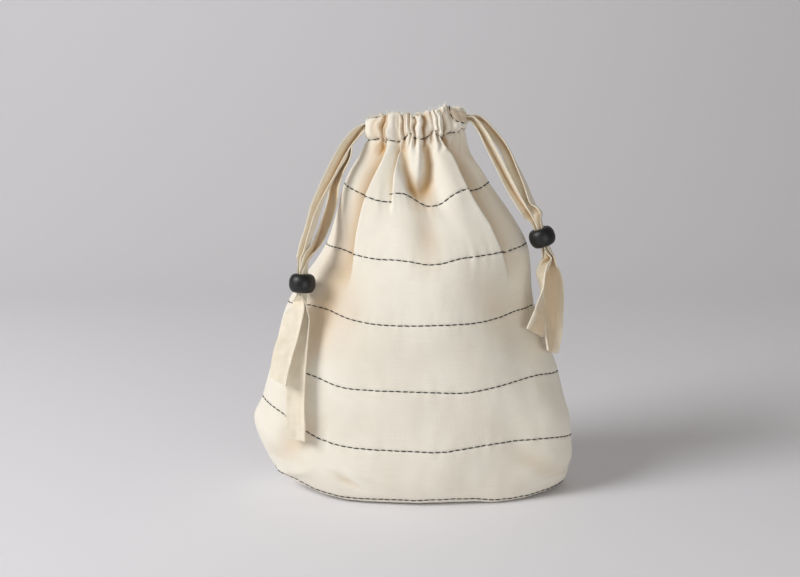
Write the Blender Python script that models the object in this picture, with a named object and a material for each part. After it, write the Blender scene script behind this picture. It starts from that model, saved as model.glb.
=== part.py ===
"""A cotton drawstring pouch that stands filled, with its neck drawn half shut.

Two cotton panels are sewn together down the sides and along the middle of the base. Each has a folded
casing at the top, and dark topstitching in rows. Two flat tapes run through the casings in opposite
directions. The two ends of each tape hang out of one side, through a black bead that slides on them.

Metres, +Z up, the front faces -Y. The origin is on the ground under the middle of the pouch.
"""

from math import cos, pi, radians, sin

import bmesh
import bpy
import numpy as np
from mathutils import Vector

MM = 0.001

# Main sizes, in millimetres. The tables give places as percentages of them
HALF_WIDTH = 101.0
HALF_DEPTH = 47.0
HEIGHT = 241.0

# Cloth and seams, in millimetres
CLOTH = 0.9
TOUCH = 0.3
SEAM_END_INSET = 6.0
STATIONS = 40

# Levels of the cloth, from the edge of the base up to the fold of the heading: how far it reaches to the
# left, to the right and to the front, as percentages of the half width and the half depth
LEVELS = [
    ("base_edge", 73.27, 87.13, 76.6),
    ("row_6", 87.72, 98.02, 89.36),
    ("belly", 100.0, 100.0, 97.87),
    ("row_5", 94.55, 99.21, 100.0),
    ("row_4", 87.62, 92.08, 100.0),
    ("row_3", 77.23, 76.73, 95.74),
    ("row_2", 53.47, 70.79, 82.98),
    ("row_1", 41.58, 47.03, 63.83),
    ("neck", 32.67, 36.14, 46.81),
    ("casing", 28.51, 32.67, 38.72),
    ("heading", 28.91, 32.67, 38.94),
]
LEVEL_NAMES = [level[0] for level in LEVELS]
LEVEL_REACHES = np.array([level[1:] for level in LEVELS])

# Heights of each level as percentages of the height, at these shares of the way from middle to side
ACROSS = np.array([-1.0, -0.85, -0.7, -0.5, -0.3, -0.15, 0.0, 0.15, 0.3, 0.5, 0.7, 0.85, 1.0])
FRONT_HEIGHTS = np.array([
    [1.66, 1.04, 0.41, 0.08, 0.0, 0.0, 0.0, 0.0, 0.0, 0.0, 0.12, 0.33, 0.62],
    [5.81, 4.77, 2.82, 1.49, 1.49, 1.62, 1.62, 1.66, 1.58, 1.16, 1.08, 1.41, 2.07],
    [17.84, 14.11, 9.96, 7.68, 7.18, 7.05, 7.05, 7.05, 7.14, 7.3, 7.47, 7.55, 7.68],
    [24.9, 22.61, 18.88, 16.18, 15.44, 15.27, 15.15, 15.02, 15.6, 16.39, 16.68, 16.35, 14.73],
    [34.85, 34.44, 33.44, 31.12, 30.71, 30.71, 30.54, 30.29, 30.04, 30.87, 32.03, 32.61, 31.74],
    [50.21, 51.04, 50.54, 48.51, 47.43, 47.18, 47.14, 47.22, 47.26, 47.39, 48.22, 49.21, 49.38],
    [65.31, 65.15, 64.02, 63.15, 63.07, 62.66, 61.99, 62.32, 63.32, 63.86, 64.32, 64.98, 65.68],
    [80.91, 79.59, 78.59, 77.59, 78.3, 78.67, 77.55, 76.27, 76.56, 78.8, 79.96, 80.17, 81.29],
    [87.97, 87.34, 86.72, 86.31, 86.1, 86.02, 85.89, 85.89, 86.02, 86.51, 87.14, 87.76, 88.38],
    [91.91, 92.2, 92.53, 92.12, 92.12, 93.11, 92.66, 92.66, 93.44, 93.11, 93.94, 93.98, 93.9],
    [96.89, 97.43, 97.88, 98.34, 98.42, 98.3, 98.3, 98.59, 99.54, 100.25, 100.25, 100.08, 100.0],
])
BACK_HEIGHTS = np.array([
    [1.66, 1.04, 0.41, 0.08, 0.0, 0.0, 0.0, 0.0, 0.0, 0.0, 0.12, 0.33, 0.62],
    [5.81, 3.73, 2.57, 1.74, 1.49, 1.45, 1.45, 1.45, 1.49, 1.58, 1.74, 1.91, 2.07],
    [17.84, 13.69, 10.37, 7.88, 7.22, 7.05, 7.05, 7.05, 7.05, 7.14, 7.3, 7.47, 7.68],
    [24.9, 21.58, 19.09, 16.6, 15.35, 14.94, 14.85, 14.85, 14.9, 14.94, 15.02, 14.94, 14.73],
    [34.85, 33.2, 32.37, 31.12, 30.71, 30.54, 30.5, 30.5, 30.54, 30.71, 31.12, 31.54, 31.74],
    [50.21, 49.38, 48.76, 47.93, 47.39, 47.22, 47.18, 47.18, 47.3, 47.63, 48.3, 48.8, 49.38],
    [65.31, 64.56, 63.73, 62.66, 61.99, 61.83, 61.74, 61.83, 62.16, 62.99, 64.07, 64.9, 65.68],
    [80.91, 79.92, 78.67, 77.18, 76.18, 75.85, 75.77, 75.85, 76.27, 77.43, 78.84, 80.08, 81.29],
    [87.97, 87.39, 86.8, 86.31, 85.98, 85.89, 85.89, 85.89, 86.02, 86.43, 87.05, 87.72, 88.38],
    [91.91, 91.99, 92.03, 92.03, 92.03, 92.03, 92.03, 92.12, 92.37, 92.78, 93.28, 93.61, 93.9],
    [96.89, 97.26, 97.59, 97.76, 97.76, 97.76, 97.76, 97.93, 98.26, 98.92, 99.59, 99.92, 100.0],
])

# Levels at which the wall, the casing and the stitches have their points
WALL_LEVELS = [0.0, 1.0, 1.5, 2.0, 3.0, 4.0, 4.5, 5.0, 5.5, 6.0, 6.5, 7.0, 7.5, 8.0, 8.5, 9.0]
OPEN_LEVEL = 9.5
CASING_LEVEL = 10.0
CASING_MIDDLE_LEVELS = [10.17, 10.8]
TOP_LEVEL = 11.0
BASE_LEVEL = 0.5

# Steps for measuring the smooth cloth: round an arc, across a share of it and up a level
ARC_STEPS = 720
SHARE_STEP = 0.004
LEVEL_STEP = 0.03

# Gathers: the flutes that the drawn casing makes
FLUTES = 10
FLUTE_DEPTH = 2.0
FLUTE_GROWTH = [(7.9, 0.0), (8.5, 0.35), (9.2, 0.8), (10.0, 1.0), (11.0, 1.0)]

# Folds that run down from the neck: place across the pouch at the casing, neck, row 1 and row 2 as
# percentages of the half width, then width, and how far the cloth stands out (+) or in (-)
FRONT_FOLDS = [
    (-17.82, -21.78, -28.71, -35.64, 6.0, 2.4),
    (-8.91, -10.4, -12.87, -14.85, 4.0, -2.6),
    (4.95, 4.95, 5.94, 7.92, 11.0, -4.2),
    (20.79, 25.74, 35.64, 54.46, 7.0, 2.8),
    (25.74, 30.69, 42.57, 62.38, 4.0, -1.6),
]
BACK_FOLDS = [
    (-19.8, -22.77, -26.73, -32.67, 6.0, -2.6),
    (-3.96, -5.94, -9.9, -13.86, 9.0, 2.6),
    (7.92, 8.91, 11.88, 16.83, 6.0, -3.4),
    (22.77, 25.74, 32.67, 46.53, 7.0, 2.4),
]
FOLD_LEVELS = [10.0, 9.0, 8.0, 7.0]
FOLD_GROWTH = [(6.2, 0.0), (7.0, 0.4), (8.0, 1.0), (9.0, 0.8), (10.0, 0.15), (11.0, 0.15)]
FOLD_END_SHARE = 0.06
PANELS = {"front": (FRONT_HEIGHTS, FRONT_FOLDS), "back": (BACK_HEIGHTS, BACK_FOLDS)}

# Casing: the top of each panel turned down inside and stitched, open at its two ends
TUNNEL = 2.7
CASING_MOUTH = 3.6

# Drawstring tape in the casings. The two tapes lie one inside the other, and each is high at its own side
CASED_TAPE = 0.7
LAYER_SHIFT = 0.6
CASED_LOW_LEVEL = 10.22
CASED_CLIMB = 0.30
CASED_HEIGHT = 0.26
CASED_SPREAD = 0.14
END_SHARE = 0.9

# Drawstring tape outside: folded lengthwise above the bead and through it, flat in the loose tails
TAPE_WIDTH = 13.6
TAPE = 0.9
BUNCHED_WIDTH = 5.4
BUNCHED_TAPE = 1.5
STRAND_GAP = 0.4

# Sewing thread
THREAD = 0.5
THREAD_TOUCH = 0.4
ROW_END_SHARE = 0.15

# Beads: turned drums, bored through
BEAD_DIAMETER = 16.0
BEAD_LENGTH = 11.4
BEAD_BORE = 7.7
BEAD_EDGE_ROUND = 3.6
BEAD_EDGE_STEPS = 5
BEAD_BORE_ROUND = 0.5
BEAD_SIDES = 20

# Where each bead sits, as percentages of the main sizes, its bore's direction, the way the front strand
# lies from the back one in it, and how far it can slide up and down the straight part of the strands
BEADS = {
    "left": {
        "centre": (-65.64, -67.23, 56.89),
        "axis": (0.04, 0.1, 1.0),
        "stack": 221.0,
        "rise": 8.0,
        "fall": 6.0,
    },
    "right": {
        "centre": (78.71, -29.79, 67.55),
        "axis": (-0.34, 0.0, 0.94),
        "stack": 240.0,
        "rise": 5.0,
        "fall": 6.0,
    },
}
STRAIGHT_SPARE = 0.8
STRAIGHT_LEAD = 2.0

# Free ends of the tapes, from the casing mouth to the bead and from there to the cut end: place as
# percentages of the main sizes, the angle that the flat of the tape faces (0 = +X, 270 = the front), and
# its width and thickness in millimetres
FREE_ENDS = {
    "left_front": {
        "bead": "left",
        "layer": 1,
        "above": [
            (-27.92, -4.04, 95.6, 225, 3.6, 0.8),
            (-31.49, -4.89, 95.68, 262, 4.6, 1.0),
            (-36.04, -11.7, 94.27, 252, 6.5, 1.3),
            (-42.97, -23.4, 90.25, 245, 7.0, 1.3),
            (-50.1, -31.91, 85.6, 240, 7.0, 1.3),
            (-55.35, -38.3, 81.16, 235, 7.5, 1.3),
            (-59.5, -45.74, 76.51, 230, 7.5, 1.3),
            (-62.97, -56.6, 70.95, 225, 7.0, 1.4),
        ],
        "below": [
            (-67.92, -73.62, 48.55, 240, TAPE_WIDTH, TAPE),
            (-70.69, -78.72, 43.57, 245, TAPE_WIDTH, TAPE),
            (-74.06, -82.13, 39.71, 248, TAPE_WIDTH, TAPE),
            (-76.93, -84.68, 35.81, 250, TAPE_WIDTH, TAPE),
            (-78.81, -86.38, 32.57, 250, TAPE_WIDTH, TAPE),
        ],
    },
    "left_back": {
        "bead": "left",
        "layer": -1,
        "above": [
            (-27.92, 4.04, 95.52, 135, 3.6, 0.8),
            (-32.08, 6.81, 95.02, 115, 4.6, 1.0),
            (-34.26, 15.96, 91.91, 135, 6.0, 1.2),
            (-34.95, 22.34, 87.34, 145, 6.0, 1.3),
            (-40.79, 12.77, 83.4, 165, 6.0, 1.3),
            (-46.04, -5.32, 80.29, 185, 6.0, 1.3),
            (-50.5, -19.15, 76.35, 200, 6.0, 1.3),
            (-55.74, -32.98, 71.99, 210, 6.0, 1.3),
            (-61.78, -55.32, 66.39, 218, 5.8, 1.4),
        ],
        "below": [
            (-66.24, -68.94, 48.34, 238, TAPE_WIDTH, TAPE),
            (-67.62, -73.62, 43.15, 243, TAPE_WIDTH, TAPE),
            (-69.31, -78.3, 36.51, 246, TAPE_WIDTH, TAPE),
            (-70.3, -82.13, 27.3, 250, TAPE_WIDTH, TAPE),
            (-70.5, -84.26, 17.3, 252, TAPE_WIDTH, TAPE),
        ],
    },
    "right_front": {
        "bead": "right",
        "layer": 1,
        "above": [
            (31.88, -4.04, 98.17, 315, 3.9, 0.8),
            (35.64, -5.11, 98.09, 280, 5.0, 1.0),
            (40.4, -11.7, 95.23, 285, 6.0, 1.2),
            (45.54, -17.02, 90.66, 282, 6.0, 1.3),
            (52.97, -20.21, 84.9, 275, 6.0, 1.3),
            (60.89, -24.47, 79.05, 262, 6.0, 1.3),
            (68.32, -28.72, 74.69, 248, 5.8, 1.4),
        ],
        "below": [
            (79.6, -37.02, 59.13, 262, TAPE_WIDTH, TAPE),
            (78.81, -41.28, 54.98, 278, TAPE_WIDTH, TAPE),
            (77.82, -46.81, 49.79, 288, TAPE_WIDTH, TAPE),
            (77.72, -51.06, 43.4, 290, TAPE_WIDTH, TAPE),
        ],
    },
    "right_back": {
        "bead": "right",
        "layer": -1,
        "above": [
            (31.88, 4.04, 98.34, 45, 3.9, 0.8),
            (35.84, 5.11, 98.67, 75, 5.0, 1.0),
            (41.58, 5.53, 98.51, 72, 7.0, 1.3),
            (48.51, 2.13, 95.64, 68, 7.5, 1.3),
            (56.93, -5.32, 90.25, 64, 8.0, 1.3),
            (63.37, -12.77, 85.06, 62, 8.0, 1.3),
            (69.11, -20.21, 80.08, 60, 8.0, 1.3),
            (73.07, -25.11, 75.52, 60, 7.0, 1.4),
        ],
        "below": [
            (84.75, -26.38, 59.54, 84, TAPE_WIDTH, TAPE),
            (86.73, -27.23, 54.77, 104, TAPE_WIDTH, TAPE),
            (86.93, -31.91, 48.13, 116, TAPE_WIDTH, TAPE),
            (86.63, -41.49, 38.17, 120, TAPE_WIDTH, TAPE),
        ],
    },
}
SAMPLES_A_SPAN = 2


def bare_scene():
    for thing in list(bpy.data.objects):
        bpy.data.objects.remove(thing, do_unlink=True)


def linear(hex_colour):
    channels = [int(hex_colour[i:i + 2], 16) / 255 for i in (1, 3, 5)]
    return [c / 12.92 if c <= 0.04045 else ((c + 0.055) / 1.055) ** 2.4 for c in channels] + [1.0]


def material(name, hex_colour, roughness, metallic=0.0):
    made = bpy.data.materials.new(name)
    made.use_nodes = True
    shader = made.node_tree.nodes["Principled BSDF"]
    shader.inputs["Base Color"].default_value = linear(hex_colour)
    shader.inputs["Roughness"].default_value = roughness
    shader.inputs["Metallic"].default_value = metallic
    return made


def new_object(name, mesh_data, finish):
    """A named object from a bmesh in metres, with its faces turned outwards."""
    bmesh.ops.recalc_face_normals(mesh_data, faces=mesh_data.faces)
    if mesh_data.calc_volume(signed=True) < 0:
        bmesh.ops.reverse_faces(mesh_data, faces=mesh_data.faces)
    mesh = bpy.data.meshes.new(name)
    mesh_data.to_mesh(mesh)
    mesh_data.free()
    mesh.materials.append(finish)
    mesh.shade_smooth()
    mesh.set_sharp_from_angle(angle=radians(40))
    made = bpy.data.objects.new(name, mesh)
    bpy.context.scene.collection.objects.link(made)
    return made


def sheet_solid(name, outer, inner, finish):
    """A closed sheet between two grids of points, each an array of stations x points x 3 in millimetres."""
    mesh_data = bmesh.new()
    rows, columns = outer.shape[:2]
    grids = []
    for grid in (outer, inner):
        grids.append([[mesh_data.verts.new(Vector(p) * MM) for p in row] for row in grid])
    top, under = grids
    for i in range(rows - 1):
        for k in range(columns - 1):
            mesh_data.faces.new((top[i][k], top[i + 1][k], top[i + 1][k + 1], top[i][k + 1]))
            mesh_data.faces.new((under[i][k], under[i + 1][k], under[i + 1][k + 1], under[i][k + 1]))
    for i in range(rows - 1):
        for k in (0, columns - 1):
            mesh_data.faces.new((top[i][k], top[i + 1][k], under[i + 1][k], under[i][k]))
    for k in range(columns - 1):
        for i in (0, rows - 1):
            mesh_data.faces.new((top[i][k], top[i][k + 1], under[i][k + 1], under[i][k]))
    return new_object(name, mesh_data, finish)


def loft(name, sections, finish):
    """A closed solid through equal outlines, capped at both ends; sections x points x 3 in millimetres."""
    mesh_data = bmesh.new()
    loops = [[mesh_data.verts.new(Vector(p) * MM) for p in section] for section in sections]
    count = len(loops[0])
    for first, second in zip(loops, loops[1:]):
        for k in range(count):
            following = (k + 1) % count
            mesh_data.faces.new((first[k], first[following], second[following], second[k]))
    mesh_data.faces.new(loops[0])
    mesh_data.faces.new(loops[-1])
    return new_object(name, mesh_data, finish)


def growth(steps, v):
    """A share that changes with the level, in straight steps between the values given."""
    levels = [step[0] for step in steps]
    return float(np.interp(v, levels, [step[1] for step in steps]))


def at_level(table, v):
    """A row of a table at level v, on a smooth curve through its rows, the first of which is level 1."""
    t = min(max(v - 1.0, 0.0), len(table) - 1.0)
    i = min(int(t), len(table) - 2)
    f = t - i
    p1, p2 = table[i], table[i + 1]
    slope_1 = (p2 - table[max(i - 1, 0)]) / 2
    slope_2 = (table[min(i + 2, len(table) - 1)] - p1) / 2
    return (
        p1 * (2 * f**3 - 3 * f**2 + 1)
        + slope_1 * (f**3 - 2 * f**2 + f)
        + p2 * (3 * f**2 - 2 * f**3)
        + slope_2 * (f**3 - f**2)
    )


def smooth_read(xs, ys, x):
    """Values at x on a smooth curve through the points (xs, ys)."""
    slopes = np.gradient(ys, xs)
    i = np.clip(np.searchsorted(xs, x) - 1, 0, len(xs) - 2)
    step = xs[i + 1] - xs[i]
    f = np.clip((x - xs[i]) / step, 0, 1)
    return (
        ys[i] * (2 * f**3 - 3 * f**2 + 1)
        + slopes[i] * step * (f**3 - 2 * f**2 + f)
        + ys[i + 1] * (3 * f**2 - 2 * f**3)
        + slopes[i + 1] * step * (f**3 - f**2)
    )


def ring(u, v, heights):
    """Points at shares u of the way round half a pouch, from the left seam to the right, at level v."""
    left, right, half_depth = at_level(LEVEL_REACHES, v) * (HALF_WIDTH, HALF_WIDTH, HALF_DEPTH) / 100
    centre = (right - left) / 2
    half_width = (right + left) / 2
    angle = np.linspace(0, pi, ARC_STEPS + 1)
    x = centre - half_width * np.cos(angle)
    y = -half_depth * np.sin(angle)
    length = np.concatenate([[0], np.cumsum(np.hypot(np.diff(x), np.diff(y)))])
    along = np.interp(u, length / length[-1], angle)
    x = centre - half_width * np.cos(along)
    y = -half_depth * np.sin(along)
    z = smooth_read(ACROSS, at_level(heights, v), -np.cos(along)) * HEIGHT / 100
    return np.stack([x, y, z], axis=-1), length[-1]


def smooth_point(u, v, heights):
    """A panel without its folds, turned to the front. Level 0 is the seam along the middle of the base."""
    if v >= 1:
        return ring(u, v, heights)[0]
    edge = ring(u, 1.0, heights)[0]
    seam = edge * 0
    seam[:, 0] = np.clip(edge[:, 0], edge[0, 0] + SEAM_END_INSET, edge[-1, 0] - SEAM_END_INSET)
    return seam + (edge - seam) * v


def smooth_normal(u, v, heights):
    """The outward direction of the panel without its folds."""
    after, before = np.clip(u + SHARE_STEP, 0, 1), np.clip(u - SHARE_STEP, 0, 1)
    ahead = smooth_point(after, v, heights) - smooth_point(before, v, heights)
    low, high = max(v - LEVEL_STEP, 0.0), min(v + LEVEL_STEP, len(LEVELS))
    up = smooth_point(u, high, heights) - smooth_point(u, low, heights)
    normal = np.cross(ahead, up)
    if v < BASE_LEVEL:
        normal = np.tile([0.0, 0.0, -1.0], (len(u), 1))
    at_seam = (u < 1e-6) | (u > 1 - 1e-6)
    normal[at_seam, 1] = 0
    return normal / np.linalg.norm(normal, axis=1)[:, None]


def fold_depth(u, v, heights, folds):
    """How far the flutes and folds carry the cloth outwards at each share u of level v."""
    depth = FLUTE_DEPTH * growth(FLUTE_GROWTH, v) * np.cos(2 * pi * FLUTES * u)
    share = growth(FOLD_GROWTH, v)
    if share <= 0:
        return depth
    x = smooth_point(u, v, heights)[:, 0]
    at_ends = np.clip(np.minimum(u, 1 - u) / FOLD_END_SHARE, 0, 1)
    for *places, width, amount in folds:
        place = np.interp(v, FOLD_LEVELS[::-1], places[::-1]) * HALF_WIDTH / 100
        depth = depth + amount * share * at_ends * np.exp(-(((x - place) / width) ** 2))
    return depth


def cloth_point(side, u, v, outwards=0.0):
    """Points of a panel's folded outer face, turned to the front, moved outwards by a distance."""
    heights, folds = PANELS[side]
    u = np.asarray(u, float)
    depth = fold_depth(u, v, heights, folds) + outwards
    return smooth_point(u, v, heights) + smooth_normal(u, v, heights) * depth[:, None]


def mirror_to(side, points):
    """Front points as they are, or turned to the back half."""
    return points * np.array([1.0, 1.0 if side == "front" else -1.0, 1.0])


def mouth_share(v):
    """The share of a half ring that the cloth stops short of the seam line: a slit in the casing only."""
    opened = float(np.clip((v - OPEN_LEVEL) / (CASING_LEVEL - OPEN_LEVEL), 0, 1))
    gap = TOUCH / 2 + (CASING_MOUTH - TOUCH / 2) * opened
    return gap / ring(np.array([0.0]), max(v, 1.0), FRONT_HEIGHTS)[1]


def cloth_stations(v):
    """The shares of the half ring at which a panel's cloth has its points at level v."""
    share = mouth_share(v)
    return share + (1 - 2 * share) * np.linspace(0, 1, STATIONS + 1)


def panel(side, finish):
    """One panel of cloth, from the seam in the base up to the heading and down to the casing stitch."""
    lining = -TUNNEL - 2 * CLOTH
    outer, inner = [], []

    def add(v, outside, inside, drop=0.0):
        u = cloth_stations(v)
        if v < OPEN_LEVEL:
            u[0], u[-1] = 0.0, 1.0
        for grid, outwards, lower in ((outer, outside, 0.0), (inner, inside, drop)):
            points = cloth_point(side, u, v, outwards)
            points[:, 1] = np.minimum(points[:, 1], -TOUCH / 2)
            points[:, 2] -= lower
            grid.append(points)

    for v in WALL_LEVELS + [OPEN_LEVEL, CASING_LEVEL] + CASING_MIDDLE_LEVELS:
        add(v, 0.0, -CLOTH)
    add(TOP_LEVEL, -CLOTH / 2, -CLOTH - TUNNEL / 4, CLOTH)
    add(TOP_LEVEL, lining + CLOTH / 2, lining + CLOTH + TUNNEL / 4, CLOTH)
    for v in reversed(CASING_MIDDLE_LEVELS):
        add(v, lining, lining + CLOTH)
    add(CASING_LEVEL, -2 * CLOTH - TOUCH, -CLOTH - TOUCH)
    outer = mirror_to(side, np.array(outer).transpose(1, 0, 2))
    inner = mirror_to(side, np.array(inner).transpose(1, 0, 2))
    return sheet_solid(f"{side}_panel", outer, inner, finish)


def stitch_row(side, name, v, finish):
    """One row of sewing thread, laid along the outside of a panel at level v."""
    u = cloth_stations(v)
    near = cloth_point(side, u, v, THREAD_TOUCH)
    far = cloth_point(side, u, v, THREAD_TOUCH + THREAD)
    upward = np.array([0.0, 0.0, THREAD / 2])
    sections = np.stack([near - upward, near + upward, far], axis=1)
    for end, inwards in ((0, 1), (-1, -2)):
        sections[end] += (sections[inwards] - sections[end]) * ROW_END_SHARE
    return loft(f"{side}_{name}", mirror_to(side, sections), finish)


def cased_section(exit_side, side, from_exit):
    """The four corners of a tape in a panel's casing, at a share of the way from its own exit."""
    u = np.array([from_exit if exit_side == "left" else 1 - from_exit])
    middle = -CLOTH - TUNNEL / 2 + (LAYER_SHIFT if exit_side == "left" else -LAYER_SHIFT)
    low = CASED_LOW_LEVEL + CASED_CLIMB * (1 + cos(pi * from_exit)) / 2
    spread = CASED_SPREAD * sin(pi * from_exit)
    levels = (low - spread, low + CASED_HEIGHT + spread)
    corners = []
    for v, face in ((levels[0], -1), (levels[1], -1), (levels[1], 1), (levels[0], 1)):
        corners.append(cloth_point(side, u, v, middle + face * CASED_TAPE / 2)[0])
    return mirror_to(side, np.array(corners))


def cased_tape(exit_side, finish):
    """The part of one drawstring in the casings: round the front, across the far side and round the back."""
    shares = cloth_stations(CASING_LEVEL)[1:]
    front = [cased_section(exit_side, "front", share) for share in shares]
    far_side = cased_section(exit_side, "front", 1.0)
    back = [cased_section(exit_side, "back", share) for share in shares[::-1]]
    return loft(f"{exit_side}_drawstring", front + [far_side] + back, finish)


def smooth_curve(points, samples):
    """Points on a smooth curve through the given ones, with every column eased alike."""
    points = np.array(points, float)
    padded = np.vstack([2 * points[0] - points[1], points, 2 * points[-1] - points[-2]])
    found = []
    for i in range(1, len(padded) - 2):
        before, start, end, after = padded[i - 1:i + 3]
        first = np.linalg.norm(start[:3] - before[:3])
        last = np.linalg.norm(after[:3] - end[:3])
        whole = np.linalg.norm(end[:3] - start[:3])
        slope_1 = ((end - before) / (first + whole)) * whole
        slope_2 = ((after - start) / (last + whole)) * whole
        for f in np.arange(samples) / samples:
            found.append(
                start * (2 * f**3 - 3 * f**2 + 1)
                + slope_1 * (f**3 - 2 * f**2 + f)
                + end * (3 * f**2 - 2 * f**3)
                + slope_2 * (f**3 - f**2)
            )
    found.append(points[-1])
    return np.array(found)


def placed(percentages):
    """A place in millimetres from percentages of the main sizes."""
    return np.array(percentages[:3]) * (HALF_WIDTH, HALF_DEPTH, HEIGHT) / 100


def unit(vector):
    return vector / np.linalg.norm(vector)


def strand_route(end):
    """Route rows of one free end: place, facing, width and thickness, straight where the bead slides."""
    held = BEADS[end["bead"]]
    axis = unit(np.array(held["axis"]))
    facing = radians(held["stack"])
    outwards = np.array([cos(facing), sin(facing), 0.0])
    outwards = unit(outwards - axis * outwards.dot(axis))
    shift = end["layer"] * (BUNCHED_TAPE + STRAND_GAP) / 2
    middle = placed(held["centre"]) + outwards * shift
    above, below = ([(*placed(row), *row[3:]) for row in end[part]] for part in ("above", "below"))
    angle = held["stack"]
    angle += 180 * round((above[-1][3] - angle) / 180)
    stretch = []
    top = BEAD_LENGTH / 2 + held["rise"] + STRAIGHT_SPARE
    bottom = BEAD_LENGTH / 2 + held["fall"] + STRAIGHT_SPARE
    for along in (top + STRAIGHT_LEAD, top, 0.0, -bottom, -bottom - STRAIGHT_LEAD / 2):
        stretch.append((*(middle + axis * along), angle, BUNCHED_WIDTH, BUNCHED_TAPE))
    return above + stretch + below


def ribbon_sections(rows):
    """The four corners of a flat tape at each sampled row of its route."""
    places = rows[:, :3]
    forward = np.gradient(places, axis=0)
    sections = []
    for row, step in zip(rows, forward):
        angle = radians(row[3])
        facing = np.array([cos(angle), sin(angle), 0.0])
        along = unit(step)
        across = unit(np.cross(facing, along))
        normal = np.cross(along, across)
        half_width, half = row[4] / 2, row[5] / 2
        sections.append(
            [
                row[:3] + across * half_width * a + normal * half * b
                for a, b in ((-1, -1), (1, -1), (1, 1), (-1, 1))
            ]
        )
    return sections


def free_end(name, finish):
    """One loose end of a drawstring: out of the casing mouth, through the bead and down to its cut end."""
    exit_side, side = name.split("_")
    mouth_at, within_at = cloth_stations(CASING_LEVEL)[:2]
    mouth = cased_section(exit_side, side, mouth_at)
    within = cased_section(exit_side, side, within_at)
    inside = [mouth + (within - mouth) * END_SHARE, mouth]
    sections = ribbon_sections(smooth_curve(strand_route(FREE_ENDS[name]), SAMPLES_A_SPAN))
    upward = sections[0][1][2] > sections[0][0][2]
    if not upward:
        sections = [[s[1], s[0], s[3], s[2]] for s in sections]
    return loft(f"{exit_side}_drawstring_{side}_end", inside + sections, finish)


def bead(name, centre, axis, finish):
    """A drum bead turned about its bore, with its origin on the bore's middle."""
    outer_radius, half, bore = BEAD_DIAMETER / 2, BEAD_LENGTH / 2, BEAD_BORE / 2
    profile = []
    for angle in np.linspace(0, pi / 2, BEAD_EDGE_STEPS):
        fallen = BEAD_EDGE_ROUND * (1 - cos(angle))
        profile.append((outer_radius - fallen, half - BEAD_EDGE_ROUND * (1 - sin(angle))))
    profile.append((bore, half - BEAD_BORE_ROUND))
    profile = profile + [(r, -z) for r, z in reversed(profile)]
    mesh_data = bmesh.new()
    verts = [mesh_data.verts.new((r * MM, 0, z * MM)) for r, z in profile]
    edges = [mesh_data.edges.new(pair) for pair in zip(verts, verts[1:] + verts[:1])]
    bmesh.ops.spin(
        mesh_data,
        geom=verts + edges,
        axis=(0, 0, 1),
        cent=(0, 0, 0),
        angle=2 * pi,
        steps=BEAD_SIDES,
        use_merge=True,
    )
    bmesh.ops.remove_doubles(mesh_data, verts=mesh_data.verts, dist=1e-6)
    made = new_object(name, mesh_data, finish)
    made.rotation_euler = Vector(axis).to_track_quat("Z", "Y").to_euler()
    made.location = Vector(placed(centre)) * MM
    return made


def main():
    bare_scene()
    cotton = material("unbleached_cotton", "#EAE1CF", 0.92)
    tape = material("cotton_tape", "#E9DBBB", 0.9)
    thread = material("charcoal_thread", "#33362F", 0.8)
    paint = material("black_painted_wood", "#17171A", 0.35)
    for side in PANELS:
        panel(side, cotton)
        for index, name in enumerate(LEVEL_NAMES):
            if name.startswith("row_"):
                stitch_row(side, f"stitch_{name}", index + 1.0, thread)
        stitch_row(side, "casing_stitch", CASING_LEVEL, thread)
    for exit_side in ("left", "right"):
        cased_tape(exit_side, tape)
    for name in FREE_ENDS:
        free_end(name, tape)
    for exit_side, held in BEADS.items():
        bead(f"{exit_side}_bead", held["centre"], held["axis"], paint)


main()
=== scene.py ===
"""How a cotton drawstring pouch looks: a gathered bag of two panels, rows of dark topstitching, two flat
tapes drawn out of the casing at either side, and the black beads that hold them. Metres, +Z up, the front
faces -Y. Tables of places are in millimetres.
"""

from math import cos, pi, radians, sin

import bmesh
import bpy
import numpy as np
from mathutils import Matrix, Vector, noise


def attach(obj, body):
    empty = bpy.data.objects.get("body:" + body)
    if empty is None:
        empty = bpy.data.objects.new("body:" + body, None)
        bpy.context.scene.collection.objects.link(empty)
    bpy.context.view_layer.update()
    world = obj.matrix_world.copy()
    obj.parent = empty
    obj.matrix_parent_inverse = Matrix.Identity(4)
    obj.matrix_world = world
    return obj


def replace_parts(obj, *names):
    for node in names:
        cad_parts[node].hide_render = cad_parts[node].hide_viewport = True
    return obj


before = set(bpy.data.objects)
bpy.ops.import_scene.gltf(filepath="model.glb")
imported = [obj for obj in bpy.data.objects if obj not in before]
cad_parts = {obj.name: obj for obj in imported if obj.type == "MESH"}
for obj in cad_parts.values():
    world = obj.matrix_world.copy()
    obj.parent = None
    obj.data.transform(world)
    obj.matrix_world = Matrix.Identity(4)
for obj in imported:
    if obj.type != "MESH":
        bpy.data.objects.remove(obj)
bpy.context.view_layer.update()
MM = 0.001


def linear(hex_colour):
    channels = [int(hex_colour[i:i + 2], 16) / 255 for i in (1, 3, 5)]
    return [c / 12.92 if c <= 0.04045 else ((c + 0.055) / 1.055) ** 2.4 for c in channels] + [1.0]


def add(tree, kind, settings=None, **links):
    """A node with its settings. A link is a socket of another node, or a plain value for the input."""
    node = tree.nodes.new(kind)
    for name, value in (settings or {}).items():
        setattr(node, name, value)
    for name, value in links.items():
        key = int(name[1:]) if name[0] == "i" and name[1:].isdigit() else name.replace("_", " ")
        if isinstance(value, bpy.types.NodeSocket):
            tree.links.new(value, node.inputs[key])
        else:
            node.inputs[key].default_value = value
    return node


def new_material(name, hex_colour, roughness):
    made = bpy.data.materials.new(name)
    made.use_nodes = True
    shader = made.node_tree.nodes["Principled BSDF"]
    shader.inputs["Base Color"].default_value = linear(hex_colour)
    shader.inputs["Roughness"].default_value = roughness
    return made, made.node_tree, shader


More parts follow.
